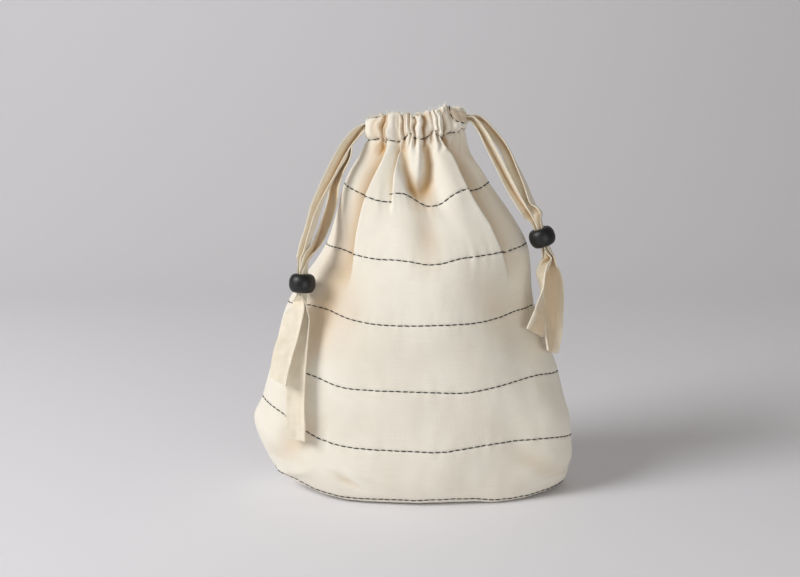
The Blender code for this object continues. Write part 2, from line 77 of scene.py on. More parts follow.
def bands(spacing):
    """The scale of a pattern whose bands lie this many millimetres apart."""
    return 2 * pi / (20 * spacing * MM)


# The view: from the front, a little above the pouch, looking ten degrees down
camera_data = bpy.data.cameras.new("camera")
camera_data.lens = 50
camera_data.sensor_width = 36
camera = bpy.data.objects.new("camera", camera_data)
camera.location = (-0.0076, -0.690, 0.250)
camera.rotation_euler = (radians(80), 0, 0)
bpy.context.scene.collection.objects.link(camera)
bpy.context.scene.camera = camera


# Cotton tape: woven flat on a narrow loom and washed, a little yellower than the cloth. The ribs across its
# width are drawn 1 mm apart, twice as coarse as the real ones, to show as a soft grain on a dull face.
tape_material, tree, shader = new_material("woven cotton tape, loomed and washed", "#EADBBA", 0.88)
laid_flat = add(tree, "ShaderNodeUVMap", {"uv_map": "flat"})
ribs = add(
    tree, "ShaderNodeTexWave", {"wave_type": "BANDS", "bands_direction": "Y"},
    Vector=laid_flat.outputs[0], Scale=bands(0.952), Distortion=0.6, Detail=1.0, Detail_Scale=2.0,
)
cross_ribs = add(
    tree, "ShaderNodeTexWave", {"wave_type": "BANDS", "bands_direction": "X"},
    Vector=laid_flat.outputs[0], Scale=bands(1.208), Distortion=0.4, Detail=1.0,
)
weave = add(tree, "ShaderNodeMath", {"operation": "MULTIPLY"}, i0=ribs.outputs[1], i1=cross_ribs.outputs[1])
grain = add(tree, "ShaderNodeTexNoise", None, Vector=laid_flat.outputs[0], Scale=1 / (6.25 * MM), Detail=4.0)
tone = add(tree, "ShaderNodeValToRGB", None, Fac=grain.outputs[0])
tone.color_ramp.elements[0].position = 0.3
tone.color_ramp.elements[0].color = linear("#E2D7C0")
tone.color_ramp.elements[1].position = 0.7
tone.color_ramp.elements[1].color = linear("#EAE0CC")
# Painted shade: a warm tan, #C59A5C, is mixed into the tape's colour as far as the painted fold shade
# attribute asks, in fold valleys and on shaded faces
painted_fold_shade = add(tree, "ShaderNodeAttribute", {"attribute_name": "painted_fold_shade"})
painted_warm_shade = add(
    tree, "ShaderNodeMix", {"data_type": "RGBA"},
    i0=painted_fold_shade.outputs["Fac"], i6=tone.outputs[0], i7=linear("#C59A5C"),
)
tree.links.new(painted_warm_shade.outputs[2], shader.inputs["Base Color"])
bump = add(tree, "ShaderNodeBump", None, Height=weave.outputs[0], Strength=0.35, Distance=0.0002)
tree.links.new(bump.outputs[0], shader.inputs["Normal"])
shader.inputs["Sheen Weight"].default_value = 0.25
shader.inputs["Sheen Roughness"].default_value = 0.6


# Drawstrings: each is one tape that runs round the casing and leaves by one side, where both of its ends
# go through a bead. Above the bead it is folded lengthwise, below it opens out flat to a turned hem. Along
# the stretch that the bead slides on, it is gathered to fit the bore.
TAPE_WIDTH = 13.6
TAPE_THICKNESS = 0.9
BUNCHED = 5.4
HEM = 13.0
BEAD_RADIUS = 8.0
BEAD_HALF = 5.7
BORE = 3.85
# A bead's held rows: how far along its axis, how far beside it, width of half the tape, how far it is open
BEADS = {
    "left": {
        "centre": (-66.3, -31.6, 137.1),
        "axis": (0.04, 0.1, 1.0),
        "facing": 221.0,
        "slides": (8.0, 0.0),
        "held": [
            (15.5, 2.0, 5.8, 34), (11.0, 1.4, BUNCHED, 22), (7.5, 1.2, BUNCHED, 18), (0.0, 1.1, BUNCHED, 12),
            (-6.8, 1.1, BUNCHED, 14), (-9.0, 1.0, 5.8, 60), (-12.0, 0.8, 6.6, 140),
        ],
    },
    "right": {
        "centre": (79.5, -14.0, 162.8),
        "axis": (-0.34, 0.0, 0.94),
        "facing": 240.0,
        "slides": (5.0, 6.0),
        "held": [
            (15.0, 2.6, 6.2, 48), (10.5, 1.5, BUNCHED, 26), (7.5, 1.3, BUNCHED, 20), (0.0, 1.1, BUNCHED, 12),
            (-7.0, 1.1, BUNCHED, 14), (-10.5, 1.1, 5.6, 34), (-14.0, 1.0, 6.2, 70),
        ],
    },
}
# The ends: rows above the bead as (x, y, z, facing, width of half the tape), with how far each is open, and
# rows below it as (x, y, z, facing). Sway is where the cloth hangs beside those rows: sideways, up, turn and
# how much warm shade is painted on its face. The lip is the edge that curls, and the slant is the hem's.
ENDS = {
    "left_drawstring_front_end": {
        "open": [24, 34, 44, 48, 50, 48, 44, 36],
        "sway": [
            (0, 0, 0, 0), (1.5, -1.5, 0, 0), (2.1, -2.6, 0, 0), (2.6, -1.6, 0, 0), (3.6, -1.9, 0, 0),
            (3.6, -1.9, 0, 0), (3.1, -1.4, 0, 0), (2.6, -0.7, 0, 0), (0.4, 0, 0, 0), (0, 0, 0, 0),
            (-0.3, 0, 0, 0), (0, 0, 0, 0), (0, 0, 0, 0), (0, 0, 0, 0), (-0.8, 0, 0, 0), (-1.8, 0, 0, 0),
            (-1.8, 0, 0, 0), (-1.8, 0, 0, 0), (-1.6, 0, 0, 0), (-1.2, 0, 0, 0),
        ],
        "lip": (1, 1.2),
        "slant": 1.2,
        "curl": -0.6,
        "above": [
            (-28.2, -1.9, 230.4, 225, 3.6),
            (-31.8, -2.3, 230.6, 262, 4.6),
            (-36.4, -5.5, 227.2, 252, 6.5),
            (-43.4, -11.0, 217.5, 245, 6.8),
            (-50.6, -15.0, 206.3, 240, 6.8),
            (-55.9, -18.0, 195.6, 235, 6.8),
            (-60.1, -21.5, 184.4, 230, 6.8),
            (-63.6, -26.6, 171.0, 225, 6.4),
        ],
        "bead": ("left", -1),
        "fanned": [180, 180, 180, 180, 180],
        "below": [
            (-69.8, -35.2, 117.0, 244),
            (-73.0, -37.0, 105.0, 248),
            (-76.0, -38.6, 95.7, 250),
            (-78.2, -39.8, 86.3, 246),
            (-79.8, -40.6, 78.5, 240),
        ],
    },
    "left_drawstring_back_end": {
        "open": [16, 14, 14, 16, 24, 44, 60, 62, 50],
        "sway": [
            (0, 0, 0, 0), (0.8, -0.8, 60, 0), (-2.8, 0, 80, 0.2), (-4.4, 0, 60, 0.3), (-4, 0, 50, 0.4),
            (-2, 0, 45, 0.5), (0.8, 0, 60, 0.45), (3.2, -0.8, 60, 0.4), (4.2, -1.5, 50, 0.35),
            (2.0, 0, 30, 0.2), (0.5, 0, 20, 0.1), (0.2, 0, 0, 0),
        ],
        "lip": (1, 2.0),
        "slant": 0.4,
        "curl": 0.8,
        "above": [
            (-28.2, 1.9, 230.2, 135, 3.6),
            (-32.4, 3.2, 229.0, 150, 4.6),
            (-34.6, 7.5, 221.5, 180, 6.0),
            (-35.3, 10.5, 210.5, 205, 6.4),
            (-41.2, 6.0, 201.0, 225, 6.4),
            (-46.5, -2.5, 193.5, 235, 6.4),
            (-51.0, -9.0, 184.0, 236, 6.4),
            (-56.3, -15.5, 173.5, 232, 6.2),
            (-62.4, -26.0, 160.0, 224, 5.8),
        ],
        "bead": ("left", 1),
        "fanned": [170, 180, 180, 180, 180],
        "below": [
            (-66.9, -32.4, 116.5, 238),
            (-68.3, -34.6, 104.0, 246),
            (-70.0, -36.8, 88.0, 252),
            (-71.0, -38.6, 65.8, 250),
            (-71.2, -39.6, 41.7, 256),
        ],
    },
    "right_drawstring_front_end": {
        "open": [22, 26, 34, 40, 44, 46, 40],
        "sway": [
            (0, -2, 0, 0), (0.5, -2.6, 0, 0), (0.8, -2.6, 0, 0), (0.2, 0, 0, 0), (0.3, 0, 0, 0),
            (0, 0, 0, 0), (-0.4, -0.4, 0, 0), (-1.6, 0, 0, 0), (-0.6, 0, 0, 0), (-0.2, 0, 0, 0),
            (0, 0, 0, 0), (0, 0, 0, 0), (0, 0, -6, 0), (0, 0, -12, 0), (0, 0, -12, 0), (0, 0, -20, 0),
            (0, 0, -24, 0.3), (0, 0, -16, 0.4), (-0.8, 0, -10, 0.4),
        ],
        "lip": (-1, 1.4),
        "slant": -1.7,
        "curl": -1.2,
        "above": [
            (32.2, -1.9, 236.6, 315, 3.9),
            (36.0, -2.4, 236.4, 280, 5.0),
            (40.8, -5.5, 229.5, 285, 6.0),
            (46.0, -8.0, 218.5, 282, 6.4),
            (53.5, -9.5, 204.6, 275, 6.4),
            (61.5, -11.5, 190.5, 262, 6.2),
            (69.0, -13.5, 180.0, 248, 5.8),
        ],
        "bead": ("right", -1),
        "fanned": [110, 160, 180, 180, 180],
        "below": [
            (80.0, -18.4, 141.5, 212),
            (79.3, -20.0, 133.0, 200),
            (78.6, -22.0, 124.0, 174),
            (77.6, -23.6, 115.0, 146),
            (75.6, -25.0, 105.2, 122),
        ],
    },
    "right_drawstring_back_end": {
        "open": [22, 30, 34, 36, 40, 48, 50, 44],
        "sway": [
            (0, -1.8, 0, 0), (0, -3, 0, 0), (-0.3, -3.8, 0, 0.1), (-1.7, -1.9, 0, 0.2),
            (-0.8, -0.5, 0, 0.1), (-1.1, -0.5, -14, 0), (-1.4, -0.5, -26, 0), (-0.7, -0.4, -30, 0),
            (0.4, 0, -16, 0), (0.3, 0, 0, 0), (0.2, 0, 0, 0), (0, 0, 0, 0), (0, 0, 0, 0),
            (0, 0, 0, 0.2), (0, 0, 0, 0.4), (0, 0, 0, 0.45), (0, 0, -2, 0.45), (0, 0, -4, 0.45),
            (0, 0, -8, 0.42), (0, 0, -10, 0.4),
        ],
        "lip": (1, 3.2),
        "slant": 1.0,
        "curl": 1.2,
        "above": [
            (32.2, 1.9, 237.0, 225, 3.9),
            (36.2, 2.4, 237.8, 255, 5.0),
            (42.0, 2.6, 237.4, 252, 6.4),
            (49.0, 1.0, 230.5, 248, 6.8),
            (57.5, -2.5, 217.5, 244, 6.8),
            (64.0, -6.0, 205.0, 242, 6.8),
            (69.8, -9.5, 193.0, 240, 6.8),
            (73.8, -11.8, 182.0, 240, 6.2),
        ],
        "bead": ("right", 1),
        "fanned": [110, 160, 180, 180, 180],
        "below": [
            (84.6, -12.4, 143.5, 262),
            (86.6, -12.8, 132.0, 282),
            (87.2, -14.6, 117.0, 298),
            (87.2, -17.2, 104.0, 320),
            (86.4, -19.6, 92.0, 344),
        ],
    },
}


def grid_object(name, points, flat, material, closed=False, painted_shade_amount=None):
    """A mesh from a grid of points in millimetres, with the grid's flat places in metres as its UV map and,
    for a cloth, how much painted shade each point gets for lying deep in a fold."""
    rows, columns = points.shape[:2]
    index = np.arange(rows * columns).reshape(rows, columns)
    if closed:
        index = np.concatenate([index, index[:, :1]], axis=1)
    quads = np.stack([index[:-1, :-1], index[:-1, 1:], index[1:, 1:], index[1:, :-1]], axis=-1)
    mesh = bpy.data.meshes.new(name)
    mesh.from_pydata((points.reshape(-1, 3) * MM).tolist(), [], quads.reshape(-1, 4).tolist())
    uv = mesh.uv_layers.new(name="flat")
    corners = np.empty(len(mesh.loops), np.int32)
    mesh.loops.foreach_get("vertex_index", corners)
    uv.data.foreach_set("uv", flat.reshape(-1, 2)[corners].astype(np.float32).ravel())
    if painted_shade_amount is not None:
        depth = mesh.attributes.new("painted_fold_shade", "FLOAT", "POINT")
        depth.data.foreach_set("value", np.asarray(painted_shade_amount, np.float32).ravel())
    mesh.shade_smooth()
    mesh.materials.append(material)
    made = bpy.data.objects.new(name, mesh)
    bpy.context.scene.collection.objects.link(made)
    return made


def finished(made, weld=False, fill=False, flip=False):
    """The mesh with its doubles merged and its open ends filled, as asked, and its faces turned outwards."""
    work = bmesh.new()
    work.from_mesh(made.data)
    if weld:
        bmesh.ops.remove_doubles(work, verts=work.verts, dist=1e-6)
    if fill:
        bmesh.ops.holes_fill(work, edges=[edge for edge in work.edges if edge.is_boundary], sides=0)
    if flip:
        bmesh.ops.reverse_faces(work, faces=work.faces)
    else:
        bmesh.ops.recalc_face_normals(work, faces=work.faces)
    work.to_mesh(made.data)
    work.free()


def thickened(made, thickness):
    """The sheet as cloth of this many millimetres, laid on as a plain mesh."""
    layer = made.modifiers.new("cloth", "SOLIDIFY")
    layer.thickness = thickness * MM
    layer.offset = -1
    bpy.context.view_layer.update()
    cloth = bpy.data.meshes.new_from_object(made.evaluated_get(bpy.context.evaluated_depsgraph_get()))
    made.modifiers.clear()
    made.data = cloth


def eased(start, slope_1, end, slope_2, f):
    """A share f of the way along the smooth curve from start to end that has these slopes."""
    return (
        start * (2 * f**3 - 3 * f**2 + 1) + slope_1 * (f**3 - 2 * f**2 + f)
        + end * (3 * f**2 - 2 * f**3) + slope_2 * (f**3 - f**2)
    )


def smooth_curve(points, samples):
    """Points on a smooth curve through the given ones, with every column eased alike."""
    points = np.array(points, float)
    padded = np.vstack([2 * points[0] - points[1], points, 2 * points[-1] - points[-2]])
    found = []
    for i in range(1, len(padded) - 2):
        before, start, end, after = padded[i - 1:i + 3]
        first = np.linalg.norm(start[:3] - before[:3])
        last = np.linalg.norm(after[:3] - end[:3])
        whole = np.linalg.norm(end[:3] - start[:3])
        slope_1 = ((end - before) / (first + whole)) * whole
        slope_2 = ((after - start) / (last + whole)) * whole
        for f in np.arange(samples) / samples:
            found.append(eased(start, slope_1, end, slope_2, f))
    found.append(points[-1])
    return np.array(found)


def even_rows(rows, step):
    """The same route with its rows a set distance apart."""
    along = np.concatenate([[0], np.cumsum(np.linalg.norm(np.diff(rows[:, :3], axis=0), axis=1))])
    at = np.linspace(0, along[-1], int(along[-1] / step) + 1)
    return np.stack([np.interp(at, along, column) for column in rows.T], axis=1), at


def strand_rows(end):
    """Route rows: place, facing, width of one half of the tape, how far the two halves stand open, how far
    the cloth hangs sideways and up from its route, and how much warm shade is painted on its face."""
    side, hand = end["bead"]
    bead = BEADS[side]
    facing = bead["facing"]
    axis = np.array(bead["axis"]) / np.linalg.norm(bead["axis"])
    sideways = np.array([-sin(radians(facing)), cos(radians(facing)), 0.0])
    sideways -= axis * sideways.dot(axis)
    sideways /= np.linalg.norm(sideways)
    above = [(*row, opened) for row, opened in zip(end["above"], end["open"])]
    held = [
        (*(np.array(bead["centre"]) + axis * along + sideways * hand * apart), facing, half, opened)
        for along, apart, half, opened in bead["held"]
    ]
    below = [(*row, TAPE_WIDTH / 2, opened) for row, opened in zip(end["below"], end["fanned"])]
    rows = np.array(above + held + below, float)
    sway = np.zeros((len(rows), 4))
    sway[:len(end["sway"])] = end["sway"]
    rows[:, 3] += sway[:, 2]
    return np.concatenate([rows, sway[:, [0, 1, 3]]], axis=1)


def squeezed(points, bead):
    """The points pressed in to the bore, over the stretch that the bead slides on."""
    centre = np.array(bead["centre"])
    axis = np.array(bead["axis"]) / np.linalg.norm(bead["axis"])
    up, down = bead["slides"]
    along = (points - centre) @ axis
    out = points - centre - along[:, None] * axis
    above = 0.8 * np.maximum(along - BEAD_HALF - up, 0)
    below = 1.2 * np.maximum(-BEAD_HALF - down - along, 0)
    room = BORE - 0.1 + above + below
    share = np.linalg.norm(out, axis=1) / room
    kept = np.where(share < 0.7, share, 0.7 + 0.3 * np.tanh((share - 0.7) / 0.3))
    return points + out * (kept / np.maximum(share, 1e-6) - 1)[:, None]


def tape_object(name, end, seed):
    """One end of a drawstring as a mesh: a tape pressed in half along its middle, which opens out flat."""
    rows, at = even_rows(smooth_curve(strand_rows(end), 24), 1.0)
    forward = np.gradient(rows[:, :3], axis=0)
    forward /= np.linalg.norm(forward, axis=1)[:, None]
    facing = np.stack([np.cos(np.radians(rows[:, 3])), np.sin(np.radians(rows[:, 3])), rows[:, 3] * 0], 1)
    sideways = np.cross(facing, forward)
    sideways /= np.linalg.norm(sideways, axis=1)[:, None]
    normal = np.cross(forward, sideways)
    share = np.linspace(-1, 1, 25)
    from_fold = np.sqrt(share**2 + 0.09**2) - 0.09
    lip_side, lip = end["lip"]
    rings, flat, painted_shade_amount = [], [], []
    for i, row in enumerate(rows):
        half = radians(np.clip(row[5], 10, 180)) / 2
        flatness = np.clip((row[5] - 100) / 80, 0, 1)
        left = at[-1] - at[i]
        # Across the tape: two halves that stand open about the fold, or a flat tape with one edge curled
        x = share * row[4] * sin(half) + np.sign(share) * 0.55 * cos(half) * np.minimum(np.abs(share) * 5, 1)
        y = from_fold * row[4] * cos(half)
        turned = np.clip((share * lip_side - 0.52) / 0.48, 0, 1)
        y += flatness * (end["curl"] * share**2 * (1 - 0.5 * left / at[-1]) + lip * turned**1.6)
        x -= flatness * lip_side * 0.3 * lip * turned**2
        # Worn in, the cloth isn't quite flat
        wave = noise.noise(Vector((at[i] / 11, seed * 3.7, 1.3)))
        ripple = np.array([noise.noise(Vector((at[i] / 8, s * 1.6, seed * 5.1))) for s in share])
        y += 0.5 * wave * share * flatness + 0.45 * ripple
        local = np.stack([x, y], axis=1)
        local -= (local.max(axis=0) + local.min(axis=0)) / 2
        step = np.gradient(local, axis=0)
        step /= np.maximum(np.linalg.norm(step, axis=1), 1e-6)[:, None]
        across = np.stack([-step[:, 1], step[:, 0]], axis=1)
        # The turned hem is thicker, and so are the woven edges
        hem = 0.6 * np.clip((HEM - left) / 0.8, 0, 1)
        edge = np.sqrt(np.clip(1 - share**16, 0.12, 1))[:, None]
        selvedge = 1 + 0.25 * (np.abs(share) > 0.86)
        thick = TAPE_THICKNESS / 2 * (1 + hem) * selvedge[:, None]
        both = np.concatenate([local + across * thick * edge, (local - across * thick * edge)[::-1]])
        beside = row[:3] + np.array([row[6], 0.0, row[7]])
        slant = end["slant"] * np.clip(1 - left / 26, 0, 1) * np.concatenate([share, share[::-1]])
        points = beside + both[:, :1] * sideways[i] + both[:, 1:] * normal[i] + slant[:, None] * forward[i]
        rings.append(squeezed(points, BEADS[end["bead"][0]]))
        flat.append([(s * TAPE_WIDTH / 2 * MM, at[i] * MM) for s in np.concatenate([share, share[::-1]])])
        # Painted shade: warm tan painted into the valley of a shut fold, and on the face of rows whose sway
        # asks for it, away from a curled lip
        shut = np.clip((150 - row[5]) / 90, 0, 1)
        painted_valley_shade = 0.9 * shut * (1 - np.abs(share)) ** 3
        off_lip = 1 - np.minimum(turned * 1.6, 1) * flatness
        painted_face_shade = row[8] * np.clip((0.93 - np.abs(share)) / 0.12, 0, 1) * off_lip
        painted_shade_amount.append(np.concatenate([np.maximum(painted_valley_shade, painted_face_shade), painted_face_shade]))
    made = grid_object(name, np.array(rings), np.array(flat), tape_material, True, np.array(painted_shade_amount))
    finished(made, fill=True)
    made.data.set_sharp_from_angle(angle=radians(60))
    return made, rows[:, :3] * MM, at[-1] * MM


strands = {}
for seed, (name, end) in enumerate(ENDS.items()):
    tape, path, length = tape_object(f"{name}_look", end, seed)
    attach(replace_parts(tape, name), "pouch")
    strands[name] = (tape, path, length)


# Beads: common 16 mm drums, turned from wood, bored through and dipped in black paint. The paint is satin,
# so a light is a soft spot on it, and a dipped coat is faintly uneven every 2 or 3 mm.
bead_material, tree, shader = new_material("turned wood, dipped in black satin paint", "#0D0D0F", 0.34)
own_place = add(tree, "ShaderNodeTexCoord")
uneven = add(
    tree, "ShaderNodeTexNoise", None, Vector=own_place.outputs["Object"], Scale=1 / (2.381 * MM), Detail=3.0
)
bump = add(tree, "ShaderNodeBump", None, Height=uneven.outputs[0], Strength=0.12, Distance=0.0004)
tree.links.new(bump.outputs[0], shader.inputs["Normal"])
worn = add(
    tree, "ShaderNodeMapRange", None, Value=uneven.outputs[0],
    From_Min=0.3, From_Max=0.7, To_Min=0.36, To_Max=0.5,
)
tree.links.new(worn.outputs[0], shader.inputs["Roughness"])
SHOULDER_IN, SHOULDER_DOWN = 3.6, 5.2
shoulder = np.linspace(0, pi / 2, 14)
out_from_axis = BEAD_RADIUS - SHOULDER_IN * (1 - np.cos(shoulder))
along_axis = BEAD_HALF - SHOULDER_DOWN * (1 - np.sin(shoulder))
bore_rim = [(BORE + 0.5, BEAD_HALF), (BORE + 0.15, BEAD_HALF - 0.12), (BORE, BEAD_HALF - 0.5)]
half_outline = np.concatenate([np.stack([out_from_axis, along_axis], 1), bore_rim])
bead_outline = np.concatenate([half_outline, half_outline[::-1] * [1, -1], half_outline[:1]])
for side, bead in BEADS.items():
    turns = np.linspace(0, 2 * pi, 65)
    points = np.array([[(r * cos(t), r * sin(t), z) for r, z in bead_outline] for t in turns])
    steer = Vector(bead["axis"]).to_track_quat("Z", "Y").to_matrix()
    points = points @ np.array(steer).T + np.array(bead["centre"])
    drum = grid_object(f"{side}_bead_look", points, np.zeros((*points.shape[:2], 2)), bead_material)
    finished(drum, weld=True)
    drum.data.set_sharp_from_angle(angle=radians(50))
    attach(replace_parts(drum, f"{side}_bead"), f"{side}_bead_body")
    for strand in ("front", "back"):
        tape, path, length = strands[f"{side}_drawstring_{strand}_end"]


# Cotton canvas: plain weave, unbleached, with the slubs and small flecks of raw cotton. The colour is a
# warm off-white and the face is dull with a slight nap; deep in folds a warm tan shade is painted on.
# The threads are drawn 1.4 mm apart, about three times as coarse as the real ones, so that they show.
canvas, tree, shader = new_material("unbleached cotton canvas, plain weave", "#EAE3D3", 0.93)
laid_flat = add(tree, "ShaderNodeUVMap", {"uv_map": "flat"})
warp = add(
    tree, "ShaderNodeTexWave", {"wave_type": "BANDS", "bands_direction": "X"},
    Vector=laid_flat.outputs[0], Scale=bands(1.366), Distortion=0.8, Detail=2.0, Detail_Scale=1.5,
)
weft = add(
    tree, "ShaderNodeTexWave", {"wave_type": "BANDS", "bands_direction": "Y"},
    Vector=laid_flat.outputs[0], Scale=bands(1.366), Distortion=0.8, Detail=2.0, Detail_Scale=1.5,
)
weave = add(tree, "ShaderNodeMath", {"operation": "MAXIMUM"}, i0=warp.outputs[1], i1=weft.outputs[1])
slub_place = add(
    tree, "ShaderNodeMapping", None,
    Vector=laid_flat.outputs[0], Scale=(1 / (20 * MM), 1 / (0.667 * MM), 1.0),
)
slubs = add(tree, "ShaderNodeTexNoise", None, Vector=slub_place.outputs[0], Scale=1.0, Detail=3.0)
broad = add(tree, "ShaderNodeTexNoise", None, Vector=laid_flat.outputs[0], Scale=1 / (38.5 * MM), Detail=3.0)
mixed = add(
    tree, "ShaderNodeMix", {"data_type": "FLOAT"}, i0=0.3, i2=broad.outputs[0], i3=slubs.outputs[0]
)
tone = add(tree, "ShaderNodeValToRGB", None, Fac=mixed.outputs[0])
tone.color_ramp.elements[0].position = 0.32
tone.color_ramp.elements[0].color = linear("#E5DDCD")
tone.color_ramp.elements[1].position = 0.66
tone.color_ramp.elements[1].color = linear("#EFE9DC")
# Painted shade: warm tan #C6A069 mixed into the canvas colour as far as the painted fold shade attribute
# asks
painted_fold_shade = add(tree, "ShaderNodeAttribute", {"attribute_name": "painted_fold_shade"})
painted_warm_shade = add(
    tree, "ShaderNodeMix", {"data_type": "RGBA"},
    i0=painted_fold_shade.outputs["Fac"], i6=tone.outputs[0], i7=linear("#C6A069"),
)
tree.links.new(painted_warm_shade.outputs[2], shader.inputs["Base Color"])
relief = add(
    tree, "ShaderNodeMath", {"operation": "MULTIPLY_ADD"},
    i0=slubs.outputs[0], i1=0.4, i2=weave.outputs[0],
)
bump = add(tree, "ShaderNodeBump", None, Height=relief.outputs[0], Strength=0.15, Distance=0.0002)
tree.links.new(bump.outputs[0], shader.inputs["Normal"])
shader.inputs["Sheen Weight"].default_value = 0.2
shader.inputs["Sheen Roughness"].default_value = 0.7


# Panels: front and back are one layer of canvas each, sewn together at the sides and along the middle of
# the base. The top of each is turned down inside and stitched as a casing, which the tapes draw in. The
# unfolded cloth follows rings at levels 1 to 11 from the base to the fold over the top.
# Reaches of each level to the left, the right and the front, then heights at shares across it.
ACROSS = np.array([-1, -0.85, -0.7, -0.5, -0.3, -0.15, 0, 0.15, 0.3, 0.5, 0.7, 0.85, 1])
REACHES = np.array([
    (74.0, 88.0, 36.0), (88.6, 99.0, 42.0), (101.0, 101.0, 46.0), (95.5, 100.2, 47.0), (88.5, 93.0, 47.0),
    (78.0, 77.5, 45.0), (54.0, 71.5, 39.0), (42.0, 47.5, 30.0), (33.0, 36.5, 22.0), (28.8, 33.0, 18.2),
    (29.2, 33.0, 18.3),
])
FRONT_HEIGHTS = np.array([
    (4, 2.5, 1, 0.2, 0, 0, 0, 0, 0, 0, 0.3, 0.8, 1.5),
    (14, 11.5, 6.8, 3.6, 3.6, 3.9, 3.9, 4.0, 3.8, 2.8, 2.6, 3.4, 5),
    (43, 34, 24, 18.5, 17.3, 17, 17, 17, 17.2, 17.6, 18, 18.2, 18.5),
    (60, 54.5, 45.5, 39, 37.2, 36.8, 36.5, 36.2, 37.6, 39.5, 40.2, 39.4, 35.5),
    (84, 83, 80.6, 75, 74, 74, 73.6, 73, 72.4, 74.4, 77.2, 78.6, 76.5),
    (121, 123, 121.8, 116.9, 114.3, 113.7, 113.6, 113.8, 113.9, 114.2, 116.2, 118.6, 119),
    (157.4, 157, 154.3, 152.2, 152.0, 151, 149.4, 150.2, 152.6, 153.9, 155, 156.6, 158.3),
    (195, 191.8, 189.4, 187.0, 188.7, 189.6, 186.9, 183.8, 184.5, 189.9, 192.7, 193.2, 195.9),
    (212, 210.5, 209, 208, 207.5, 207.3, 207, 207, 207.3, 208.5, 210, 211.5, 213),
    (221.5, 222.2, 223, 222, 222, 224.4, 223.3, 223.3, 225.2, 224.4, 226.4, 226.5, 226.3),
    (233.5, 234.8, 235.9, 237, 237.2, 236.9, 236.9, 237.6, 239.9, 241.6, 241.6, 241.2, 241),
])
BACK_HEIGHTS = np.array([
    (4, 2.5, 1, 0.2, 0, 0, 0, 0, 0, 0, 0.3, 0.8, 1.5),
    (14, 9, 6.2, 4.2, 3.6, 3.5, 3.5, 3.5, 3.6, 3.8, 4.2, 4.6, 5),
    (43, 33, 25, 19, 17.4, 17, 17, 17, 17, 17.2, 17.6, 18, 18.5),
    (60, 52, 46, 40, 37, 36, 35.8, 35.8, 35.9, 36, 36.2, 36, 35.5),
    (84, 80, 78, 75, 74, 73.6, 73.5, 73.5, 73.6, 74, 75, 76, 76.5),
    (121, 119, 117.5, 115.5, 114.2, 113.8, 113.7, 113.7, 114, 114.8, 116.4, 117.6, 119),
    (157.4, 155.6, 153.6, 151, 149.4, 149, 148.8, 149, 149.8, 151.8, 154.4, 156.4, 158.3),
    (195, 192.6, 189.6, 186, 183.6, 182.8, 182.6, 182.8, 183.8, 186.6, 190, 193, 195.9),
    (212, 210.6, 209.2, 208, 207.2, 207, 207, 207, 207.3, 208.3, 209.8, 211.4, 213),
    (221.5, 221.7, 221.8, 221.8, 221.8, 221.8, 221.8, 222, 222.6, 223.6, 224.8, 225.6, 226.3),
    (233.5, 234.4, 235.2, 235.6, 235.6, 235.6, 235.6, 236, 236.8, 238.4, 240, 240.8, 241),
])
SEAM_INSET = 6.0
CASING = 10.0
SEAM_TOP = 9.5
MOUTH_GAP = 3.6
SEAM_GAP = 0.15
STITCHED = {
    "stitch_row_6": 2, "stitch_row_5": 4, "stitch_row_4": 5, "stitch_row_3": 6, "stitch_row_2": 7,
    "stitch_row_1": 8, "casing_stitch": 10,
}
HALF_GIRTH = 200.0
CLOTH_WIDTH = 242.0
CLOTH_THICKNESS = 0.6
BEHIND = np.array([1, -1, 1])


def hermite(table, t):
    """Rows of a table read on a smooth curve between them."""
    t = min(max(t, 0.0), len(table) - 1.0)
    i = min(int(t), len(table) - 2)
    f = t - i
    p1, p2 = table[i], table[i + 1]
    slope_1 = (p2 - table[max(i - 1, 0)]) / 2
    slope_2 = (table[min(i + 2, len(table) - 1)] - p1) / 2
    return eased(p1, slope_1, p2, slope_2, f)


def smooth_read(xs, ys, x):
    """Values read on a smooth curve through the points (xs, ys)."""
    slopes = np.gradient(ys, xs)
    i = np.clip(np.searchsorted(xs, x) - 1, 0, len(xs) - 2)
    step = xs[i + 1] - xs[i]
    f = np.clip((x - xs[i]) / step, 0, 1)
    return eased(ys[i], slopes[i] * step, ys[i + 1], slopes[i + 1] * step, f)


def ring(u, v, heights):
    """The unfolded cloth at level v, at shares u of the way from the left seam round to the right."""
    left, right, half_depth = hermite(REACHES, v - 1)
    centre, half_width = (right - left) / 2, (right + left) / 2
    angle = np.linspace(0, pi, 721)
    arc = np.stack([centre - half_width * np.cos(angle), -half_depth * np.sin(angle)], axis=1)
    length = np.concatenate([[0], np.cumsum(np.linalg.norm(np.diff(arc, axis=0), axis=1))])
    along = np.interp(u, length / length[-1], angle)
    x = centre - half_width * np.cos(along)
    z = smooth_read(ACROSS, hermite(heights, v - 1), -np.cos(along))
    return np.stack([x, -half_depth * np.sin(along), z], axis=-1), length[-1]


def level_points(u, v, heights):
    if v >= 1:
        return ring(u, v, heights)[0]
    edge = ring(u, 1.0, heights)[0]
    seam = edge * 0
    seam[:, 0] = np.clip(edge[:, 0], edge[0, 0] + SEAM_INSET, edge[-1, 0] - SEAM_INSET)
    return seam + (edge - seam) * v


